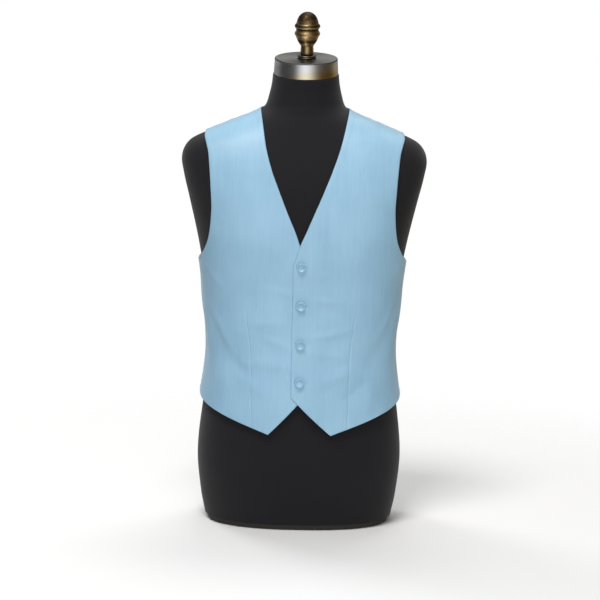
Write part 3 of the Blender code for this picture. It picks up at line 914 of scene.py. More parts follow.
def make_cap(rise):
    """The cap, from the middle of its top over the round rim and down its side."""
    turn = np.linspace(0, pi / 2, CAP_RIM_RINGS)
    rim = np.stack([np.sin(turn) - 1, np.cos(turn) - 1], axis=-1) * CAP_ROUND
    rim = rim + (CAP_TOP_RADIUS, CAP_HEIGHT)
    top = np.linspace((0, CAP_HEIGHT), rim[0], CAP_TOP_RINGS)[:-1]
    side = np.linspace(rim[-1], (CAP_RADIUS, CAP_FOOT), CAP_SIDE_RINGS)[1:]
    foot = [(CAP_RADIUS - CAP_FOOT, 0.0), (0.0, 0.0)]
    profile = np.vstack((top, rim, side, foot))
    turned_piece("steel_cap", profile, neck_place(rise), CAP_STEPS, steel)


def make_collar(rise):
    """The collar: two bevelled rims with a waist between them."""
    inner = COLLAR_RADIUS - COLLAR_BEVEL
    third = COLLAR_BEVEL / 3
    upper = np.array(
        [
            (0.0, COLLAR_HEIGHT),
            (inner, COLLAR_HEIGHT),
            (COLLAR_RADIUS - third, COLLAR_HEIGHT - third),
            (COLLAR_RADIUS, COLLAR_HEIGHT - COLLAR_BEVEL),
        ]
    )
    lower = upper[::-1] * (1, -1) + (0, COLLAR_HEIGHT)
    profile = np.vstack((upper, [(inner, COLLAR_HEIGHT / 2)], lower))
    place = neck_place(rise, FINIAL_SHIFT)
    turned_piece("screw_collar", profile, place, FINIAL_STEPS, collar_metal)


def make_finial(rise):
    """The finial, with its finish told where along the profile the dark bands of patina and painted
    shade are.
    """
    length = travelled(np.array(FINIAL_PROFILE))
    dark_bands = [(float(length[groove.row]), groove.reach, groove.depth) for groove in FINIAL_DARK_BANDS]
    brass = brass_finish(dark_bands)
    profile = fine_profile(FINIAL_PROFILE, FINIAL_LINE_STEPS)
    place = neck_place(rise, FINIAL_SHIFT)
    turned_piece("turned_finial", profile, place, FINIAL_STEPS, brass)


collar_rise = PIECE_GAP + CAP_HEIGHT + PIECE_GAP
make_cap(PIECE_GAP)
make_collar(collar_rise)
make_finial(collar_rise + COLLAR_HEIGHT + PIECE_GAP)

# %% [markdown]
# ## The cut of the vest
#
# A vest front has a closing edge, a neckline, a shoulder seam, an armhole, a side seam and a hem. Each
# is a path over the form, and a grid is stretched between four of them at a time. That keeps the cut's
# own outline exact and its inside even, and a fold or a seam is then a small lift of the grid's points.
# The lower part of both necklines, and the place where they cross, are read from the photograph.

# %% Sizes of the cut
WALL = 0.0020
SEAM_GAP = 0.0001
LAP_CLEARANCE = 0.0005
LEFT_EDGE = -0.015
RIGHT_EDGE = -0.007
LAP_RAMP = (0.018, 0.048)
CUTAWAY_TOP = 0.232
BREAK_HEIGHT = 0.457
HEM_POINT = (0.052, 0.168)
SIDE_HEM = 0.225
BACK_HEM = 0.196
UNDERARM = 0.455
SHOULDER_TIP = 0.672
NECK_POINT = 0.712
BACK_NECK = 0.717

Neck = namedtuple("Neck", "height left right")
NECKLINE = [
    # height, then how far across the left and the right front's necklines lie, each on its own side
    Neck(BREAK_HEIGHT, LEFT_EDGE, RIGHT_EDGE),
    Neck(0.4765, -0.0080, -0.0002),
    Neck(0.4890, -0.0042, 0.0042),
    Neck(0.5100, 0.0050, 0.0117),
    Neck(0.5340, 0.0152, 0.0222),
    Neck(0.5825, 0.0358, 0.0420),
    Neck(0.6125, 0.0476, 0.0536),
    Neck(0.6500, 0.0604, 0.0640),
    Neck(0.6900, 0.0700, 0.0706),
    Neck(NECK_POINT, 0.0745, 0.0745),
]

print("closing edge", round(BREAK_HEIGHT - CUTAWAY_TOP, 3), "m long")

# %% Armholes, back neck and hem
Place = namedtuple("Place", "angle height")
ARMHOLE_FRONT = [
    # angle and height, from the underarm up to the shoulder seam
    Place(90.0, UNDERARM),
    Place(76.0, 0.463),
    Place(65.0, 0.492),
    Place(60.5, 0.540),
    Place(61.0, 0.590),
    Place(64.5, 0.630),
    Place(70.0, 0.6535),
    Place(76.5, 0.6655),
    Place(83.0, 0.6705),
    Place(90.0, SHOULDER_TIP),
]
ARMHOLE_BACK = [
    Place(90.0, UNDERARM),
    Place(104.0, 0.463),
    Place(114.5, 0.492),
    Place(118.8, 0.540),
    Place(119.2, 0.590),
    Place(116.8, 0.630),
    Place(111.5, 0.6535),
    Place(104.5, 0.6660),
    Place(97.5, 0.6704),
    Place(90.0, SHOULDER_TIP),
]
NECKLINE_BACK = [
    Place(180.0, BACK_NECK),
    Place(150.0, 0.7165),
    Place(120.0, 0.7145),
    Place(90.0, NECK_POINT),
]
HEM_FRONT = [
    # from the point of the front, whose angle is worked out, to the side seam
    Place(45.0, 0.186),
    Place(68.0, 0.207),
    Place(90.0, SIDE_HEM),
]
HEM_BACK = [
    Place(180.0, BACK_HEM),
    Place(150.0, 0.197),
    Place(120.0, 0.207),
    Place(90.0, SIDE_HEM),
]
print("an armhole is", round(SHOULDER_TIP - UNDERARM, 3), "m high")

# %% Paths over the form
FINE = 480
KNOT_STEPS = 60


def path_through(places):
    """A fine smooth path of (angle, height) through a table of places."""
    return smooth_line([(radians(place.angle), place.height) for place in places], KNOT_STEPS)


def straight(start, end):
    """A fine straight path of (angle, height)."""
    share = np.linspace(0, 1, FINE)[:, None]
    return (1 - share) * np.array(start) + share * np.array(end)


def evenly(path, steps):
    """The same path with that many steps of equal length on the body."""
    so_far = travelled(body_point(path[:, 0], path[:, 1]))
    wanted = np.linspace(0, so_far[-1], steps + 1)
    return np.stack([np.interp(wanted, so_far, line) for line in path.T], axis=-1)


def patch(bottom, top, left, right):
    """The grid of (angle, height) between four sides."""
    u = np.linspace(0, 1, len(bottom))[None, :, None]
    v = np.linspace(0, 1, len(left))[:, None, None]
    ruled = (1 - v) * bottom[None] + v * top[None] + (1 - u) * left[:, None] + u * right[:, None]
    corners = (1 - v) * ((1 - u) * bottom[0] + u * bottom[-1]) + v * (
        (1 - u) * top[0] + u * top[-1]
    )
    return ruled - corners


# %% Grids of the two panels
PANEL_COLUMNS = 96
POINT_COLUMN = 36
LOW_ROWS = 110
HIGH_ROWS = 150
NECK_ROWS = 45


def panel_grid(hem, low_left, low_right, high_left, high_right, top):
    """A panel's grid: the part below the chest line, and the part above it."""
    chest = evenly(straight(low_left[-1], low_right[-1]), PANEL_COLUMNS)
    low = patch(hem, chest, low_left, low_right)
    high = patch(chest, top, high_left, high_right)
    return np.vstack((low, high[1:]))


def front_grid(side):
    """The grid of a front, as if it were the wearer's left one. The right one laps less far."""
    word = "left" if side > 0 else "right"
    edge = LEFT_EDGE if side > 0 else RIGHT_EDGE
    heights = np.linspace(CUTAWAY_TOP, BREAK_HEIGHT, FINE)
    closing = np.stack([angle_across(np.full(FINE, edge), heights), heights], axis=-1)
    heights = np.linspace(BREAK_HEIGHT, NECK_POINT, FINE)
    across = column(NECKLINE, word, heights)
    neckline = np.stack([angle_across(across, heights), heights], axis=-1)
    neckline[-1] = (pi / 2, NECK_POINT)
    point_angle = angle_across(np.array(HEM_POINT[0]), np.array(HEM_POINT[1]))
    point = Place(np.degrees(point_angle), HEM_POINT[1])
    cutaway = evenly(straight(closing[0], (point_angle, HEM_POINT[1])), POINT_COLUMN)
    rest = evenly(path_through([point] + HEM_FRONT), PANEL_COLUMNS - POINT_COLUMN)
    return panel_grid(
        np.vstack((cutaway[:-1], rest)),
        evenly(closing, LOW_ROWS),
        evenly(straight((pi / 2, SIDE_HEM), (pi / 2, UNDERARM)), LOW_ROWS),
        evenly(neckline, HIGH_ROWS),
        evenly(path_through(ARMHOLE_FRONT), HIGH_ROWS),
        evenly(straight((pi / 2, NECK_POINT), (pi / 2, SHOULDER_TIP)), PANEL_COLUMNS),
    )


def back_grid():
    """The grid of a back piece on the wearer's left. Its inner side turns into the neckline."""
    centre_top = evenly(straight((pi, UNDERARM), (pi, BACK_NECK)), HIGH_ROWS - NECK_ROWS)
    neckline = evenly(path_through(NECKLINE_BACK), NECK_ROWS)
    return panel_grid(
        evenly(path_through(HEM_BACK), PANEL_COLUMNS),
        evenly(straight((pi, BACK_HEM), (pi, UNDERARM)), LOW_ROWS),
        evenly(straight((pi / 2, SIDE_HEM), (pi / 2, UNDERARM)), LOW_ROWS),
        np.vstack((centre_top, neckline[1:])),
        evenly(path_through(ARMHOLE_BACK), HIGH_ROWS),
        evenly(straight((pi / 2, NECK_POINT), (pi / 2, SHOULDER_TIP)), PANEL_COLUMNS),
    )


print("panel grids of", PANEL_COLUMNS + 1, "by", LOW_ROWS + HIGH_ROWS + 1, "points")

# %% [markdown]
# ## Folds and creases
#
# The broad folds are in the solids too, so they keep their rows here. On top come the small creases
# that a solid leaves out: short drag lines beside the buttons, where the lap pulls, and soft breaks at
# the side waist and under the arms. Each is a row of its own, uneven in length, depth and bend,
# because creases that repeat look like corduroy.

# %% Tables of folds and creases
Fold = namedtuple("Fold", "side angle height length width depth slant bend", defaults=(0.0,))
FOLDS = [
    # side (1 left, -1 right), angle, height, length, width, depth out (in if below 0), slant,
    # and for a crease how strongly its line bends
    Fold(1, 74.0, 0.335, 0.170, 0.016, 0.0030, 12.0),
    Fold(1, 57.0, 0.300, 0.120, 0.018, -0.0024, 20.0),
    Fold(-1, 72.0, 0.322, 0.190, 0.018, 0.0034, 14.0),
    Fold(-1, 52.0, 0.285, 0.110, 0.015, -0.0022, 24.0),
    Fold(1, 112.0, 0.315, 0.200, 0.018, 0.0040, -8.0),
    Fold(1, 138.0, 0.290, 0.230, 0.020, 0.0036, -4.0),
    Fold(1, 125.0, 0.300, 0.180, 0.016, -0.0038, -5.0),
    Fold(-1, 108.0, 0.330, 0.180, 0.017, 0.0036, -10.0),
    Fold(-1, 142.0, 0.285, 0.210, 0.022, 0.0042, -3.0),
    Fold(-1, 123.0, 0.305, 0.200, 0.018, -0.0036, -6.0),
    Fold(1, 150.0, 0.560, 0.120, 0.022, 0.0022, 35.0),
    Fold(-1, 147.0, 0.550, 0.135, 0.020, 0.0026, 32.0),
]
CREASES = [
    # drag lines that fan out from the buttons, on the left and then on the right front
    Fold(1, 17.0, 0.4400, 0.062, 0.0068, 0.0008, 84.0, 2.0),
    Fold(1, 21.0, 0.3960, 0.088, 0.0078, 0.0014, 97.0, -1.6),
    Fold(1, 26.0, 0.3400, 0.118, 0.0072, 0.0016, 78.0, 2.2),
    Fold(1, 23.0, 0.3040, 0.092, 0.0088, 0.0018, 101.0, 1.8),
    Fold(1, 31.0, 0.2660, 0.112, 0.0100, 0.0019, 70.0, 1.2),
    Fold(1, 42.0, 0.2420, 0.080, 0.0090, -0.0016, 48.0, -2.0),
    Fold(-1, 19.0, 0.4120, 0.080, 0.0074, 0.0012, 80.0, -1.8),
    Fold(-1, 28.0, 0.3560, 0.104, 0.0084, 0.0015, 92.0, 2.4),
    Fold(-1, 21.0, 0.3240, 0.070, 0.0068, 0.0015, 68.0, 1.4),
    Fold(-1, 27.0, 0.2860, 0.126, 0.0092, 0.0019, 87.0, -1.5),
    Fold(-1, 36.0, 0.2480, 0.095, 0.0104, 0.0018, 60.0, 2.0),
    Fold(-1, 46.0, 0.2740, 0.070, 0.0080, -0.0014, 40.0, 1.6),
    # breaks at the side waist and under the arms
    Fold(1, 64.0, 0.3560, 0.120, 0.0078, 0.0018, 24.0, 1.5),
    Fold(1, 80.0, 0.2920, 0.095, 0.0070, -0.0018, 8.0, -1.8),
    Fold(1, 83.0, 0.3710, 0.105, 0.0066, 0.0015, 16.0, 1.2),
    Fold(1, 68.0, 0.4440, 0.085, 0.0074, 0.0011, 44.0, -2.2),
    Fold(1, 52.0, 0.2320, 0.078, 0.0090, 0.0016, 12.0, 1.0),
    Fold(-1, 61.0, 0.3450, 0.135, 0.0080, 0.0019, 28.0, -1.4),
    Fold(-1, 78.0, 0.3060, 0.082, 0.0068, -0.0016, 5.0, 2.0),
    Fold(-1, 84.0, 0.3880, 0.090, 0.0064, 0.0014, 20.0, 1.6),
    Fold(-1, 66.0, 0.4380, 0.095, 0.0076, 0.0012, 40.0, 1.8),
    Fold(-1, 56.0, 0.2380, 0.068, 0.0086, 0.0014, 8.0, -1.2),
    # the back
    Fold(1, 102.0, 0.3520, 0.120, 0.0072, 0.0022, -16.0, 1.4),
    Fold(1, 118.0, 0.2720, 0.140, 0.0082, 0.0026, -3.0, -1.2),
    Fold(1, 131.0, 0.3560, 0.105, 0.0070, -0.0022, -14.0, 1.6),
    Fold(1, 148.0, 0.3020, 0.170, 0.0090, 0.0025, -4.0, 0.9),
    Fold(1, 163.0, 0.3380, 0.150, 0.0084, -0.0021, 5.0, -1.1),
    Fold(1, 170.0, 0.2680, 0.100, 0.0080, 0.0017, -6.0, 1.5),
    Fold(-1, 99.0, 0.3430, 0.130, 0.0070, 0.0021, -13.0, -1.3),
    Fold(-1, 115.0, 0.2790, 0.150, 0.0080, 0.0025, -5.0, 1.1),
    Fold(-1, 134.0, 0.3490, 0.120, 0.0076, -0.0023, -10.0, -1.4),
    Fold(-1, 153.0, 0.2950, 0.185, 0.0096, 0.0026, -2.0, 0.8),
    Fold(-1, 166.0, 0.3410, 0.130, 0.0080, -0.0020, 6.0, 1.2),
    Fold(-1, 172.0, 0.2620, 0.090, 0.0074, 0.0015, 9.0, -1.6),
    Fold(1, 127.0, 0.4920, 0.105, 0.0084, 0.0017, 52.0, 1.4),
    Fold(1, 141.0, 0.5880, 0.090, 0.0088, -0.0014, 30.0, -1.8),
    Fold(-1, 125.0, 0.4990, 0.115, 0.0088, 0.0018, 47.0, -1.2),
    Fold(-1, 139.0, 0.5960, 0.080, 0.0084, -0.0013, 34.0, 1.7),
]
print(len(FOLDS), "folds and", len(CREASES), "creases")


# %% How far the cloth stands off the form
def fold_lift(rows, side, angle, height):
    """How far the folds of a table lift or sink the cloth on one side of the body."""
    lift = np.zeros(np.shape(height))
    radius = np.linalg.norm(body_point(angle, height)[..., :2], axis=-1)
    for fold in rows:
        if fold.side == side:
            across = (angle - radians(fold.angle)) * radius
            up = height - fold.height
            lean = radians(fold.slant)
            along = up * cos(lean) + across * sin(lean)
            away = across * cos(lean) - up * sin(lean) + fold.bend * along**2
            fade = np.clip(1 - (2 * along / fold.length) ** 2, 0.0, 1.0) ** 2
            lift += fold.depth * fade * np.exp(-((away / fold.width) ** 2))
    return lift


def cloth_gap(side, angle, height):
    """The gap between the form and the cloth's inner face."""
    front = np.maximum(np.cos(angle), 0) ** 2
    back = np.maximum(-np.cos(angle), 0) ** 2
    return (
        front * column(GAPS, "front", height)
        + (1 - front - back) * column(GAPS, "side", height)
        + back * column(GAPS, "back", height)
        + fold_lift(FOLDS, side, angle, height)
    )


def lap_lift(side, angle, height):
    """The left front rises over the right one where they lap."""
    if side < 0:
        return np.zeros(np.shape(height))
    across = body_point(angle, height)[..., 0]
    return (WALL + LAP_CLEARANCE) * (1 - smooth_step(across, *LAP_RAMP))


print("the fronts lap by", round(-(LEFT_EDGE + RIGHT_EDGE) * 1000), "mm")

# %% [markdown]
# ## Edges, seams and darts
#
# The outer edges of a vest are bagged out: the cloth rolls over, and the seam allowance inside makes
# the first centimetre a little thicker. A seam sinks, and puckers slightly beside itself. A dart is a
# seam that ends in the cloth. All of them depend only on the distance from a line, so extra grid lines
# go where they are needed, and small functions turn distances into lifts.

# %% Grid lines near edges and the dart
EDGE_LINES = np.array([0.0001, 0.0003, 0.0006, 0.0010, 0.0016, 0.0025, 0.0042, 0.0070, 0.0095])
EDGE_LINES_END = 0.45
DART_LINES = np.array([0.0004, 0.0009, 0.0016, 0.0026])
CLOSEST_LINES = 0.00006
DART_COLUMN = 0.47
DART_TOP = 0.418
DART_FADE = 0.05


def shares_with_lines(count, size, middle=None):
    """Shares of a side: even ones, and closer ones near its ends and near a line across it."""
    even = np.linspace(0, 1, count + 1)
    near = EDGE_LINES / size
    near = near[near < EDGE_LINES_END]
    shares = [even, near, 1 - near]
    if middle is not None:
        lines = DART_LINES / size
        shares.append(np.concatenate((middle - lines, [middle], middle + lines)))
    every = np.unique(np.concatenate(shares))
    kept = [every[0]]
    for share in every[1:]:
        if share - kept[-1] > CLOSEST_LINES / size or share == 1.0:
            kept.append(share)
    return np.array(kept)


def resample(grid, row_shares, column_shares):
    """A grid's values between its own rows and columns."""
    rows, columns = grid.shape[:2]
    row_at, column_at = row_shares * (rows - 1), column_shares * (columns - 1)
    i = np.minimum(row_at.astype(int), rows - 2)
    j = np.minimum(column_at.astype(int), columns - 2)
    t = (row_at - i)[:, None, None]
    s = (column_at - j)[None, :, None]
    low = grid[i][:, j] * (1 - s) + grid[i][:, j + 1] * s
    high = grid[i + 1][:, j] * (1 - s) + grid[i + 1][:, j + 1] * s
    return low * (1 - t) + high * t


def distances(points):
    """For each point of a grid, how far it is from each of its four sides, along its lines."""
    across = np.linalg.norm(np.diff(points, axis=1), axis=-1)
    left = np.hstack((np.zeros((len(points), 1)), np.cumsum(across, axis=1)))
    up = np.linalg.norm(np.diff(points, axis=0), axis=-1)
    bottom = np.vstack((np.zeros((1, points.shape[1])), np.cumsum(up, axis=0)))
    return left, left[:, -1:] - left, bottom, bottom[-1:] - bottom


# %% Lifts from distances
ROLL_OUT = WALL * 0.7
ROLL_IN = WALL - ROLL_OUT
ROLL_WIDTH = 0.0022
ALLOWANCE = (0.0075, 0.0105, 0.00026)
SEAM_SINK = (0.0012, 0.0006)
PUCKER = (0.0040, 0.0065, 0.00022)
LONG_PUCKERS = 780
SHORT_PUCKERS = 1130
PUCKER_DRIFT = 97
DART_SINK = (0.0009, 0.00055)


def roll(distance):
    """How far a rolled edge has turned, from 1 at its line to 0, a quarter of an oval."""
    inside = np.clip(distance / ROLL_WIDTH, 0, 1)
    return 1 - np.sqrt(1 - (1 - inside) ** 2)


def allowance(distance):
    """The seam allowance inside an edge makes the cloth a little thicker."""
    start, end, thick = ALLOWANCE
    return thick * (1 - smooth_step(distance, start, end))


def seam_sink(distance, along):
    """A seam sinks, with uneven puckers beside it."""
    width, depth = SEAM_SINK
    middle, reach, ripple = PUCKER
    waves = np.sin(along * LONG_PUCKERS + 2 * np.sin(along * PUCKER_DRIFT))
    waves = waves + 0.6 * np.sin(along * SHORT_PUCKERS + 1.3)
    beside = np.exp(-(((distance - middle) / reach) ** 2))
    return -depth * np.exp(-((distance / width) ** 2)) + ripple * waves * beside


def panel_lifts(gaps, open_sides, height):
    """Outer and inner lifts of a panel from its distances to its four sides."""
    outer = np.full(height.shape, WALL)
    inner = np.zeros(height.shape)
    turned = np.zeros(height.shape)
    thick = np.zeros(height.shape)
    for distance, is_open in zip(gaps, open_sides):
        turned = np.maximum(turned, np.where(is_open, roll(distance), 0.0))
        thick = np.maximum(thick, np.where(is_open, allowance(distance), 0.0))
        outer += np.where(is_open, 0.0, seam_sink(distance, height))
    return outer + thick - ROLL_OUT * turned, inner + ROLL_IN * turned


print("an edge turns down by", round(ROLL_OUT * 1000, 1), "mm on its outer side")

# %% [markdown]
# ## Buttons pull the cloth
#
# Each button presses a shallow dish into the left front, and the cloth puffs up a little round it.
# Both depend only on how far a point is from the button's middle, so they are added to the other
# lifts. That is why the buttons' places are needed before the panels are made.

# %% Places of the buttons
BUTTON_TOP = 0.4548
BUTTON_ACROSS = -0.0014
BUTTON_SPACING = 0.066
BUTTON_COUNT = 4
BUTTON_SEAT = 0.0005
BUTTON_HEIGHTS = [BUTTON_TOP - i * BUTTON_SPACING for i in range(BUTTON_COUNT)]
DIMPLE_DEPTH = 0.00042
DIMPLE_WIDTH = 0.011
PUFF_DEPTH = DIMPLE_DEPTH * 0.8
PUFF_DISTANCE = 0.019
PUFF_WIDTH = 0.008


def button_press(side, angle, height):
    """The shallow dish under each button and the puff round it, on the left front only."""
    press = np.zeros(np.shape(height))
    if side > 0:
        across = body_point(angle, height)[..., 0]
        for level in BUTTON_HEIGHTS:
            away = np.hypot(across - BUTTON_ACROSS, height - level)
            press -= DIMPLE_DEPTH * np.exp(-((away / DIMPLE_WIDTH) ** 2))
            press += PUFF_DEPTH * np.exp(-(((away - PUFF_DISTANCE) / PUFF_WIDTH) ** 2))
    return press


print("buttons at", [round(level, 3) for level in BUTTON_HEIGHTS])

# %% [markdown]
# ## The four panels
#
# A panel is a closed wall of cloth: an outer face with every lift on it, an inner face that follows
# the folds alone, and a rolled rim. A closed wall has an inside to look into at the armholes and the
# hem, and it stays the same thickness as the solid that it stands for. The work is split into small
# steps: place the grid lines, say which sides are open, sink the dart, and then lift both faces.


# %% Grid lines of a panel
LOW_SHARE = LOW_ROWS / (LOW_ROWS + HIGH_ROWS)
NECK_SHARE = 1 - NECK_ROWS / (LOW_ROWS + HIGH_ROWS)


def panel_lines(grid, is_back):
    """The shares of a panel's rows and columns, crowded near its edges and its dart."""
    size = body_point(grid[..., 0], grid[..., 1])
    wide = travelled(size[LOW_ROWS])[-1]
    tall = travelled(size[:, PANEL_COLUMNS // 2])[-1]
    columns = shares_with_lines(PANEL_COLUMNS, wide, None if is_back else DART_COLUMN)
    return shares_with_lines(LOW_ROWS + HIGH_ROWS, tall), columns


def clear_of_seams(angle, height, is_back):
    """The angles of a panel, drawn in by half of the gap at its seams."""
    pull = np.arcsin(SEAM_GAP / 2 / column(BODY, "half_width", height))
    if is_back:
        centre_pull = np.arcsin(SEAM_GAP / 2 / column(BODY, "back", height))
        return np.clip(angle, pi / 2 + pull, pi - centre_pull)
    return np.minimum(angle, pi / 2 - pull)


def open_sides(rows, shape, is_back):
    """Where the inner side, the outer side, the hem and the top are open edges and not seams."""
    up = np.broadcast_to(rows[:, None], shape)
    always, never = np.full(shape, True), np.full(shape, False)
    return up > NECK_SHARE if is_back else always, up > LOW_SHARE, always, never


print("a panel's side seam takes", round(LOW_SHARE, 2), "of its rows")


# %% Points, dart, grain and area of a panel
def cloth_points(side, angle, height, lift):
    """Points of the cloth, lifted off its inner face."""
    out = (cloth_gap(side, angle, height) + lift)[..., None] * body_normal(angle, height)
    return (body_point(angle, height) + out) * np.array([side, 1, 1])


def dart_sink(columns, from_side, height):
    """How far the dart sinks the cloth of a front."""
    dart_at = int(np.abs(columns - DART_COLUMN).argmin())
    away = np.abs(from_side - from_side[:, dart_at : dart_at + 1])
    width, depth = DART_SINK
    fade = 1 - smooth_step(height, DART_TOP - DART_FADE, DART_TOP)
    return depth * fade * np.exp(-((away / width) ** 2))


def panel_grain(side, angle, height, is_back):
    """The panel's own two lengths. The backs are measured from their centre seam."""
    grain = grain_of(angle, height)
    if is_back:
        grain[..., 0] -= grain_of(np.full(angle.shape, pi), height)[..., 0]
    grain[..., 0] *= side
    return grain.reshape(-1, 2)


def quad_area(points):
    """The area of a grid of points."""
    across = points[1:, 1:] - points[:-1, :-1]
    back = points[1:, :-1] - points[:-1, 1:]
    return float(np.linalg.norm(np.cross(across, back), axis=-1).sum() / 2)


print("a dart's top is at", DART_TOP, "m")


# %% Panel maker
STILL_WIDTH = 0.006
STILL_SHARE = 0.35


def make_panel(name, side, grid, is_back):
    """One panel of the vest as a closed wall with its grain, and its area."""
    rows, columns = panel_lines(grid, is_back)
    places = resample(grid, rows, columns)
    height = places[..., 1]
    angle = clear_of_seams(places[..., 0], height, is_back)
    middle = cloth_points(side, angle, height, 0.0)
    gaps = distances(middle)
    outer, inner = panel_lifts(gaps, open_sides(rows, angle.shape, is_back), height)
    detail = fold_lift(CREASES, side, angle, height) + button_press(side, angle, height)
    if not is_back:
        detail = detail - dart_sink(columns, gaps[0], height)
    still = smooth_step(np.minimum(gaps[0], gaps[1]), 0.0, STILL_WIDTH)
    detail = detail * (STILL_SHARE + (1 - STILL_SHARE) * still)
    lap = np.zeros(angle.shape) if is_back else lap_lift(side, angle, height)
    faces_out = cloth_points(side, angle, height, lap + outer + detail)
    faces_in = cloth_points(side, angle, height, lap + inner)
    points = np.concatenate((faces_out.reshape(-1, 3), faces_in.reshape(-1, 3)))
    grain = np.tile(panel_grain(side, angle, height, is_back), (2, 1))
    faces = wall_faces(*angle.shape, (side < 0) != is_back)
    piece = new_piece(name, points, faces, grain, satin)
    area = quad_area(middle)
    print(name, "has", round(area, 4), "square metres of cloth")
    return piece, area


# %% Make the panels
panels = {}
for word, side in (("left", 1), ("right", -1)):
    grids = {f"front_{word}_satin": front_grid(side), f"back_{word}_satin": back_grid()}
    for name, grid in grids.items():
        panels[name] = make_panel(name, side, grid, name.startswith("back"))

# %% [markdown]
# ## Covered buttons
#
# A covered button is a shallow metal dish with the vest's own satin stretched over it. Its rim stands
# up, its middle is sunk, and the satin gathers in tiny pleats where it is tucked under the back. A
# turned profile gives the dish, and a small ripple in its radius near the back gives the gathers.

# %% Buttons
BUTTON_PROFILE = [
    # radius and height, from the middle of the dish to the rim of the flat underside
    (0.0, 0.0010),
    (0.0026, 0.0011),
    (0.0044, 0.0019),
    (0.0060, 0.0035),
    (0.0069, 0.0040),
    (0.0077, 0.0036),
    (0.0080, 0.0027),
    (0.0080, 0.0012),
    (0.0071, 0.0),
]
BUTTON_LINE_STEPS = 5
BUTTON_STEPS = 104
GATHER_DEPTH = 0.00009
GATHER_FADE = (0.0004, 0.0026)
GATHER_COUNT = 26
SMALL_GATHER_COUNT = 41
FIRST_TURN = 17
NEXT_TURN = 61


def gathers(turn, height):
    """Tiny pleats in the radius, deepest at the back of the button."""
    depth = GATHER_DEPTH * (1 - smooth_step(height, *GATHER_FADE))
    return depth * (np.sin(turn * GATHER_COUNT) + 0.5 * np.sin(turn * SMALL_GATHER_COUNT + 1.1))


def button_place(level, turn):
    """Where a button sits on the left front, which way it faces and how far it is turned."""
    height = np.array(level)
    angle = angle_across(np.array(BUTTON_ACROSS), height)
    lift = WALL + float(lap_lift(1, angle, height)) + BUTTON_SEAT
    seat = cloth_points(1, angle[None], height[None], np.array([lift]))[0]
    facing = Vector(body_normal(angle, height)).to_track_quat("Z", "Y").to_matrix().to_4x4()
    return Matrix.Translation(Vector(seat)) @ facing @ Matrix.Rotation(radians(turn), 4, "Z")


button_line = np.vstack((fine_profile(BUTTON_PROFILE, BUTTON_LINE_STEPS), [(0.0, 0.0)]))
button_pieces = []
for i, level in enumerate(BUTTON_HEIGHTS):
    name = f"covered_button_{i + 1}"
    place = button_place(level, FIRST_TURN + NEXT_TURN * i)
    button = turned_piece(name, button_line, place, BUTTON_STEPS, button_satin, gathers)
    button_pieces.append(button)

# %% [markdown]
# ## Buttonholes
#
# Each button comes through a slit whose edges are bound with purl stitches, and a few millimetres of
# the slit show beside the button, on the side away from the edge. Every stitch is a small bead across
# the slit's edge. They are made in one mesh, since nobody needs them apart.

# %% One stitch, and where it goes
HOLE_START = 0.0045
HOLE_END = 0.0112
STITCH_STEP = 0.00048
STITCH_HALF = 0.00080
STITCH_RADIUS = 0.00020
SLIT_HALF = 0.00006
STITCH_LIFT = STITCH_RADIUS * 0.3
STITCH_RINGS = 7
STITCH_SIDES = 8
STITCH_FULLNESS = 0.7
END_SPREAD = radians(70)
END_STITCHES = 5


def surface_frame(across, level):
    """A point on the left front's outer face, with its directions across, up and out."""
    height = np.array([level])
    angle = angle_across(np.array([BUTTON_ACROSS + across]), height)
    lift = WALL + lap_lift(1, angle, height) + button_press(1, angle, height)
    point = cloth_points(1, angle, height, lift)[0]
    out = body_normal(angle, height)[0]
    side = np.cross(np.array([0.0, 0.0, 1.0]), -out)
    side = side / np.linalg.norm(side)
    return point, side, np.cross(out, side), out


def bead(centre, along, out):
    """The rings of one stitch: a rounded bar that lies along a direction."""
    share = -1 + 2 * (np.arange(STITCH_RINGS) + 0.5)[:, None, None] / STITCH_RINGS
    girth = STITCH_RADIUS * np.sqrt(1 - share**2) ** STITCH_FULLNESS
    turn = 2 * pi * np.arange(STITCH_SIDES)[None, :, None] / STITCH_SIDES
    round_it = np.cos(turn) * np.cross(along, out) + np.sin(turn) * out
    return centre + along * STITCH_HALF * share + girth * round_it


print("a slit shows for", round((HOLE_END - HOLE_START) * 1000, 1), "mm beside its button")


# %% Buttonhole stitches
def hole_beads(level):
    """The stitches along both sides of one slit, and the fan of them round its end."""
    beads = []
    for across in np.arange(HOLE_START, HOLE_END, STITCH_STEP):
        point, side, up, out = surface_frame(across, level)
        for way in (1, -1):
            centre = point + up * way * (SLIT_HALF + STITCH_HALF) + out * STITCH_LIFT
            beads.append(bead(centre, up, out))
    point, side, up, out = surface_frame(HOLE_END + STITCH_STEP, level)
    for spread in np.linspace(-END_SPREAD, END_SPREAD, END_STITCHES):
        along = side * cos(spread) + up * sin(spread)
        beads.append(bead(point + along * STITCH_HALF + out * STITCH_LIFT, along, out))
    return beads


def make_buttonholes():
    """The purl stitches of all four holes, in one piece."""
    beads = [made for level in BUTTON_HEIGHTS for made in hole_beads(level)]
    size = STITCH_RINGS * STITCH_SIDES
    faces = [
        [i * size + corner for corner in face]
        for i in range(len(beads))
        for face in solid_faces(STITCH_RINGS, STITCH_SIDES)
    ]
    points = np.array(beads).reshape(-1, 3)
    return new_piece("buttonhole_purl", points, faces, points[:, [0, 2]], purl)


purl_piece = make_buttonholes()

# %% [markdown]
# ## The left front's extras
#
# The loop below goes through the panels and their areas, and picks out the buttons and their stitches
# as the left front's extras. Nothing more is done with them here.

for name, (piece, area) in panels.items():
    extra = button_pieces + [purl_piece] if name == "front_left_satin" else []

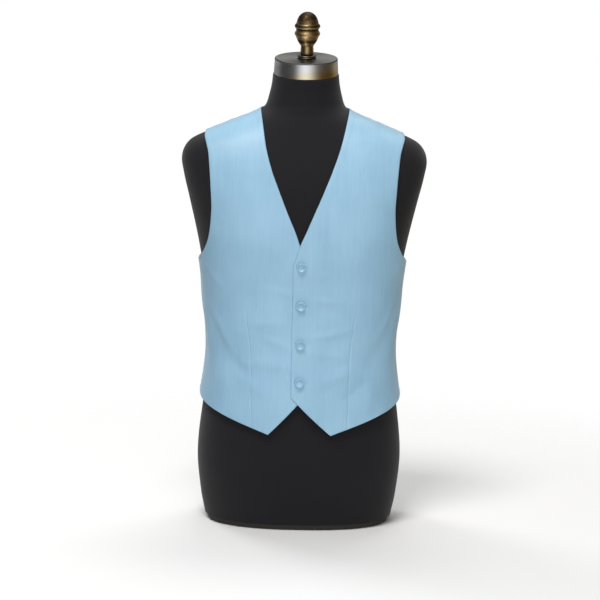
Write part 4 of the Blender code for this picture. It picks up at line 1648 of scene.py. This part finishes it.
# %% [markdown]
# ## Floor, light and camera
#
# The floor is pale and fades into a white background, so that only a soft shadow shows. A large soft
# lamp stands high in front, one fills in from the wearer's left, and two stand behind, so that folds
# show from the back too. The fill and the lower lamp behind are kept out of reflections, or the steel
# would mirror them as bright squares. The camera stands where the photographer stood: level with the
# cap, 3.1 m away, looking down by under eight degrees, and tilted by about one degree.

# %% Stage
FLOOR_SIZE = 3.0
FLOOR_FADE = (0.35, 1.3)
FLOOR_DROP = 0.0005


def floor_finish():
    """A pale floor that fades out towards its edge."""
    pale = {"Base Color": (0.86, 0.86, 0.86, 1.0), "Roughness": 0.7, "Specular IOR Level": 0.2}
    finish = Finish("pale floor", pale)
    place = finish.node("ShaderNodeNewGeometry", {}, {})
    away = finish.node("ShaderNodeVectorMath", {"operation": "LENGTH"}, {0: place}, output=1)
    clear = finish.node("ShaderNodeBsdfTransparent", {}, {})
    pale_surface = Value(finish, finish.shader.outputs[0])
    sockets = {0: finish.between(away, *FLOOR_FADE), 1: pale_surface, 2: clear}
    mixed = finish.node("ShaderNodeMixShader", {}, sockets)
    finish.join(mixed, finish.tree.nodes["Material Output"].inputs["Surface"])
    return finish


def make_floor():
    """One square just under the board."""
    mesh = bpy.data.meshes.new("floor")
    half = FLOOR_SIZE / 2
    corners = [(-half, -half, 0), (half, -half, 0), (half, half, 0), (-half, half, 0)]
    mesh.from_pydata(corners, [], [(0, 1, 2, 3)])
    mesh.materials.append(floor_finish().material)
    floor = bpy.data.objects.new("floor", mesh)
    floor.location.z = -FLOOR_DROP
    bpy.context.scene.collection.objects.link(floor)


make_floor()

# %% Lamps
Lamp = namedtuple("Lamp", "name place aim width height power in_metal colour")
LAMPS = [
    # name, place, what it points at, width, height, watts, whether metal shows it, colour
    Lamp("key", (-0.50, -1.35, 3.20), (0, 0, 0.50), 1.0, 1.0, 66.0, True, (1.0, 0.99, 0.97)),
    Lamp("front", (0.95, -2.90, 0.45), (0, 0, 0.40), 1.4, 1.0, 24.0, False, (0.97, 0.98, 1.0)),
    Lamp("rear", (0.30, 1.20, 3.40), (0, 0, 0.45), 1.4, 1.0, 30.0, True, (1.0, 1.0, 1.0)),
    Lamp("back", (-1.70, 1.90, 2.10), (0, 0, 0.45), 1.0, 1.0, 30.0, False, (1.0, 1.0, 1.0)),
]


def aim(thing, place, target):
    """Put a lamp or camera at a place, looking at a target."""
    thing.location = place
    way = Vector(target) - Vector(place)
    thing.rotation_euler = way.to_track_quat("-Z", "Y").to_euler()


for lamp in LAMPS:
    light = bpy.data.lights.new(lamp.name, "AREA")
    light.shape = "RECTANGLE"
    light.size = lamp.width
    light.size_y = lamp.height
    light.energy = lamp.power
    light.color = lamp.colour
    holder = bpy.data.objects.new(lamp.name, light)
    bpy.context.scene.collection.objects.link(holder)
    aim(holder, lamp.place, lamp.aim)
    holder.visible_camera = False
    holder.visible_glossy = lamp.in_metal
print(len(LAMPS), "lamps")

# %% [markdown]
# ## The studio round the object
#
# Metal shows the room that it stands in, so the world here is a room of light: bright in front, which
# draws the broad upright highlight on the steel cap, dim at both sides, grey behind, and warm low on
# the wearer's left, which is the right of the picture. The direction of a ray is enough to tell which
# part it meets, and each part fades into the next. The camera itself sees plain white, which the
# light path node tells apart.

# %% World
WORLD_SEEN = 1.0
WORLD_DIM = 0.052
WORLD_FRONT = 1.37
WORLD_BEHIND = 0.34
WORLD_ABOVE = 0.30
WORLD_LOW_RIGHT = 0.05
ROOM = {
    # where each part of the room fades in or out, by a ray's direction
    "front right": (-0.02, 0.77),
    "front left": (0.15, 0.66),
    "front": (0.10, 0.50),
    "front top": (0.12, 0.50),
    "behind": (0.10, 0.70),
    "behind top": (0.05, 0.45),
    "above": (0.45, 0.95),
    "warm right": (0.25, 0.90),
    "warmest right": (0.35, 0.95),
    "warmest below": (0.08, 0.22),
}
WHITE = (1.0, 1.0, 1.0, 1.0)
WARM = (1.0, 0.86, 0.52, 1.0)
WARMEST = (1.0, 0.62, 0.20, 1.0)


def make_world():
    """A room of light round the object, and plain white for the camera."""
    world = bpy.data.worlds.new("studio")
    world.use_nodes = True
    bpy.context.scene.world = world
    studio = Nodes(world.node_tree)
    right, behind, above = studio.parts(studio.node("ShaderNodeTexCoord", {}, {}))
    to_right = 1 - studio.between(right, *ROOM["front right"])
    to_left = 1 - studio.between(0 - right, *ROOM["front left"])
    front = to_right * to_left * studio.between(0 - behind, *ROOM["front"])
    front = front * (1 - studio.between(above, *ROOM["front top"]) * 0.8)
    rear = studio.between(behind, *ROOM["behind"])
    rear = rear * (1 - studio.between(above, *ROOM["behind top"]) * 0.4)
    high = studio.between(above, *ROOM["above"])
    light = front * WORLD_FRONT + rear * WORLD_BEHIND + high * WORLD_ABOVE + WORLD_DIM
    low_right = studio.between(right, *ROOM["warmest right"])
    low_right = low_right * studio.between(0 - above, *ROOM["warmest below"])
    colour = studio.blend(studio.between(right, *ROOM["warm right"]), WHITE, WARM)
    colour = studio.blend(low_right, colour, WARMEST)
    seen = studio.node("ShaderNodeLightPath", {}, {})
    lit = light + low_right * WORLD_LOW_RIGHT
    background = world.node_tree.nodes["Background"]
    studio.join(studio.blend(seen, colour, WHITE), background.inputs["Color"])
    studio.join(seen * WORLD_SEEN + (1 - seen) * lit, background.inputs["Strength"])


make_world()
bpy.context.scene.view_settings.view_transform = "Standard"
print("world made")

# %% Camera
CAMERA_PLACE = (-0.0028, -3.10, 0.799)
CAMERA_PITCH = radians(7.65)
CAMERA_ROLL = radians(1.1)
SENSOR = 36.0
FOCAL_PIXELS = 1802
IMAGE_PIXELS = 600

camera_data = bpy.data.cameras.new("photographer")
camera_data.sensor_width = SENSOR
camera_data.lens = FOCAL_PIXELS * SENSOR / IMAGE_PIXELS
camera = bpy.data.objects.new("photographer", camera_data)
look = Matrix.Rotation(pi / 2 - CAMERA_PITCH, 4, "X")
tilt = Matrix.Rotation(CAMERA_ROLL, 4, "Z")
camera.matrix_world = Matrix.Translation(CAMERA_PLACE) @ look @ tilt
bpy.context.scene.collection.objects.link(camera)
bpy.context.scene.camera = camera
print("lens", round(camera_data.lens, 1), "mm")
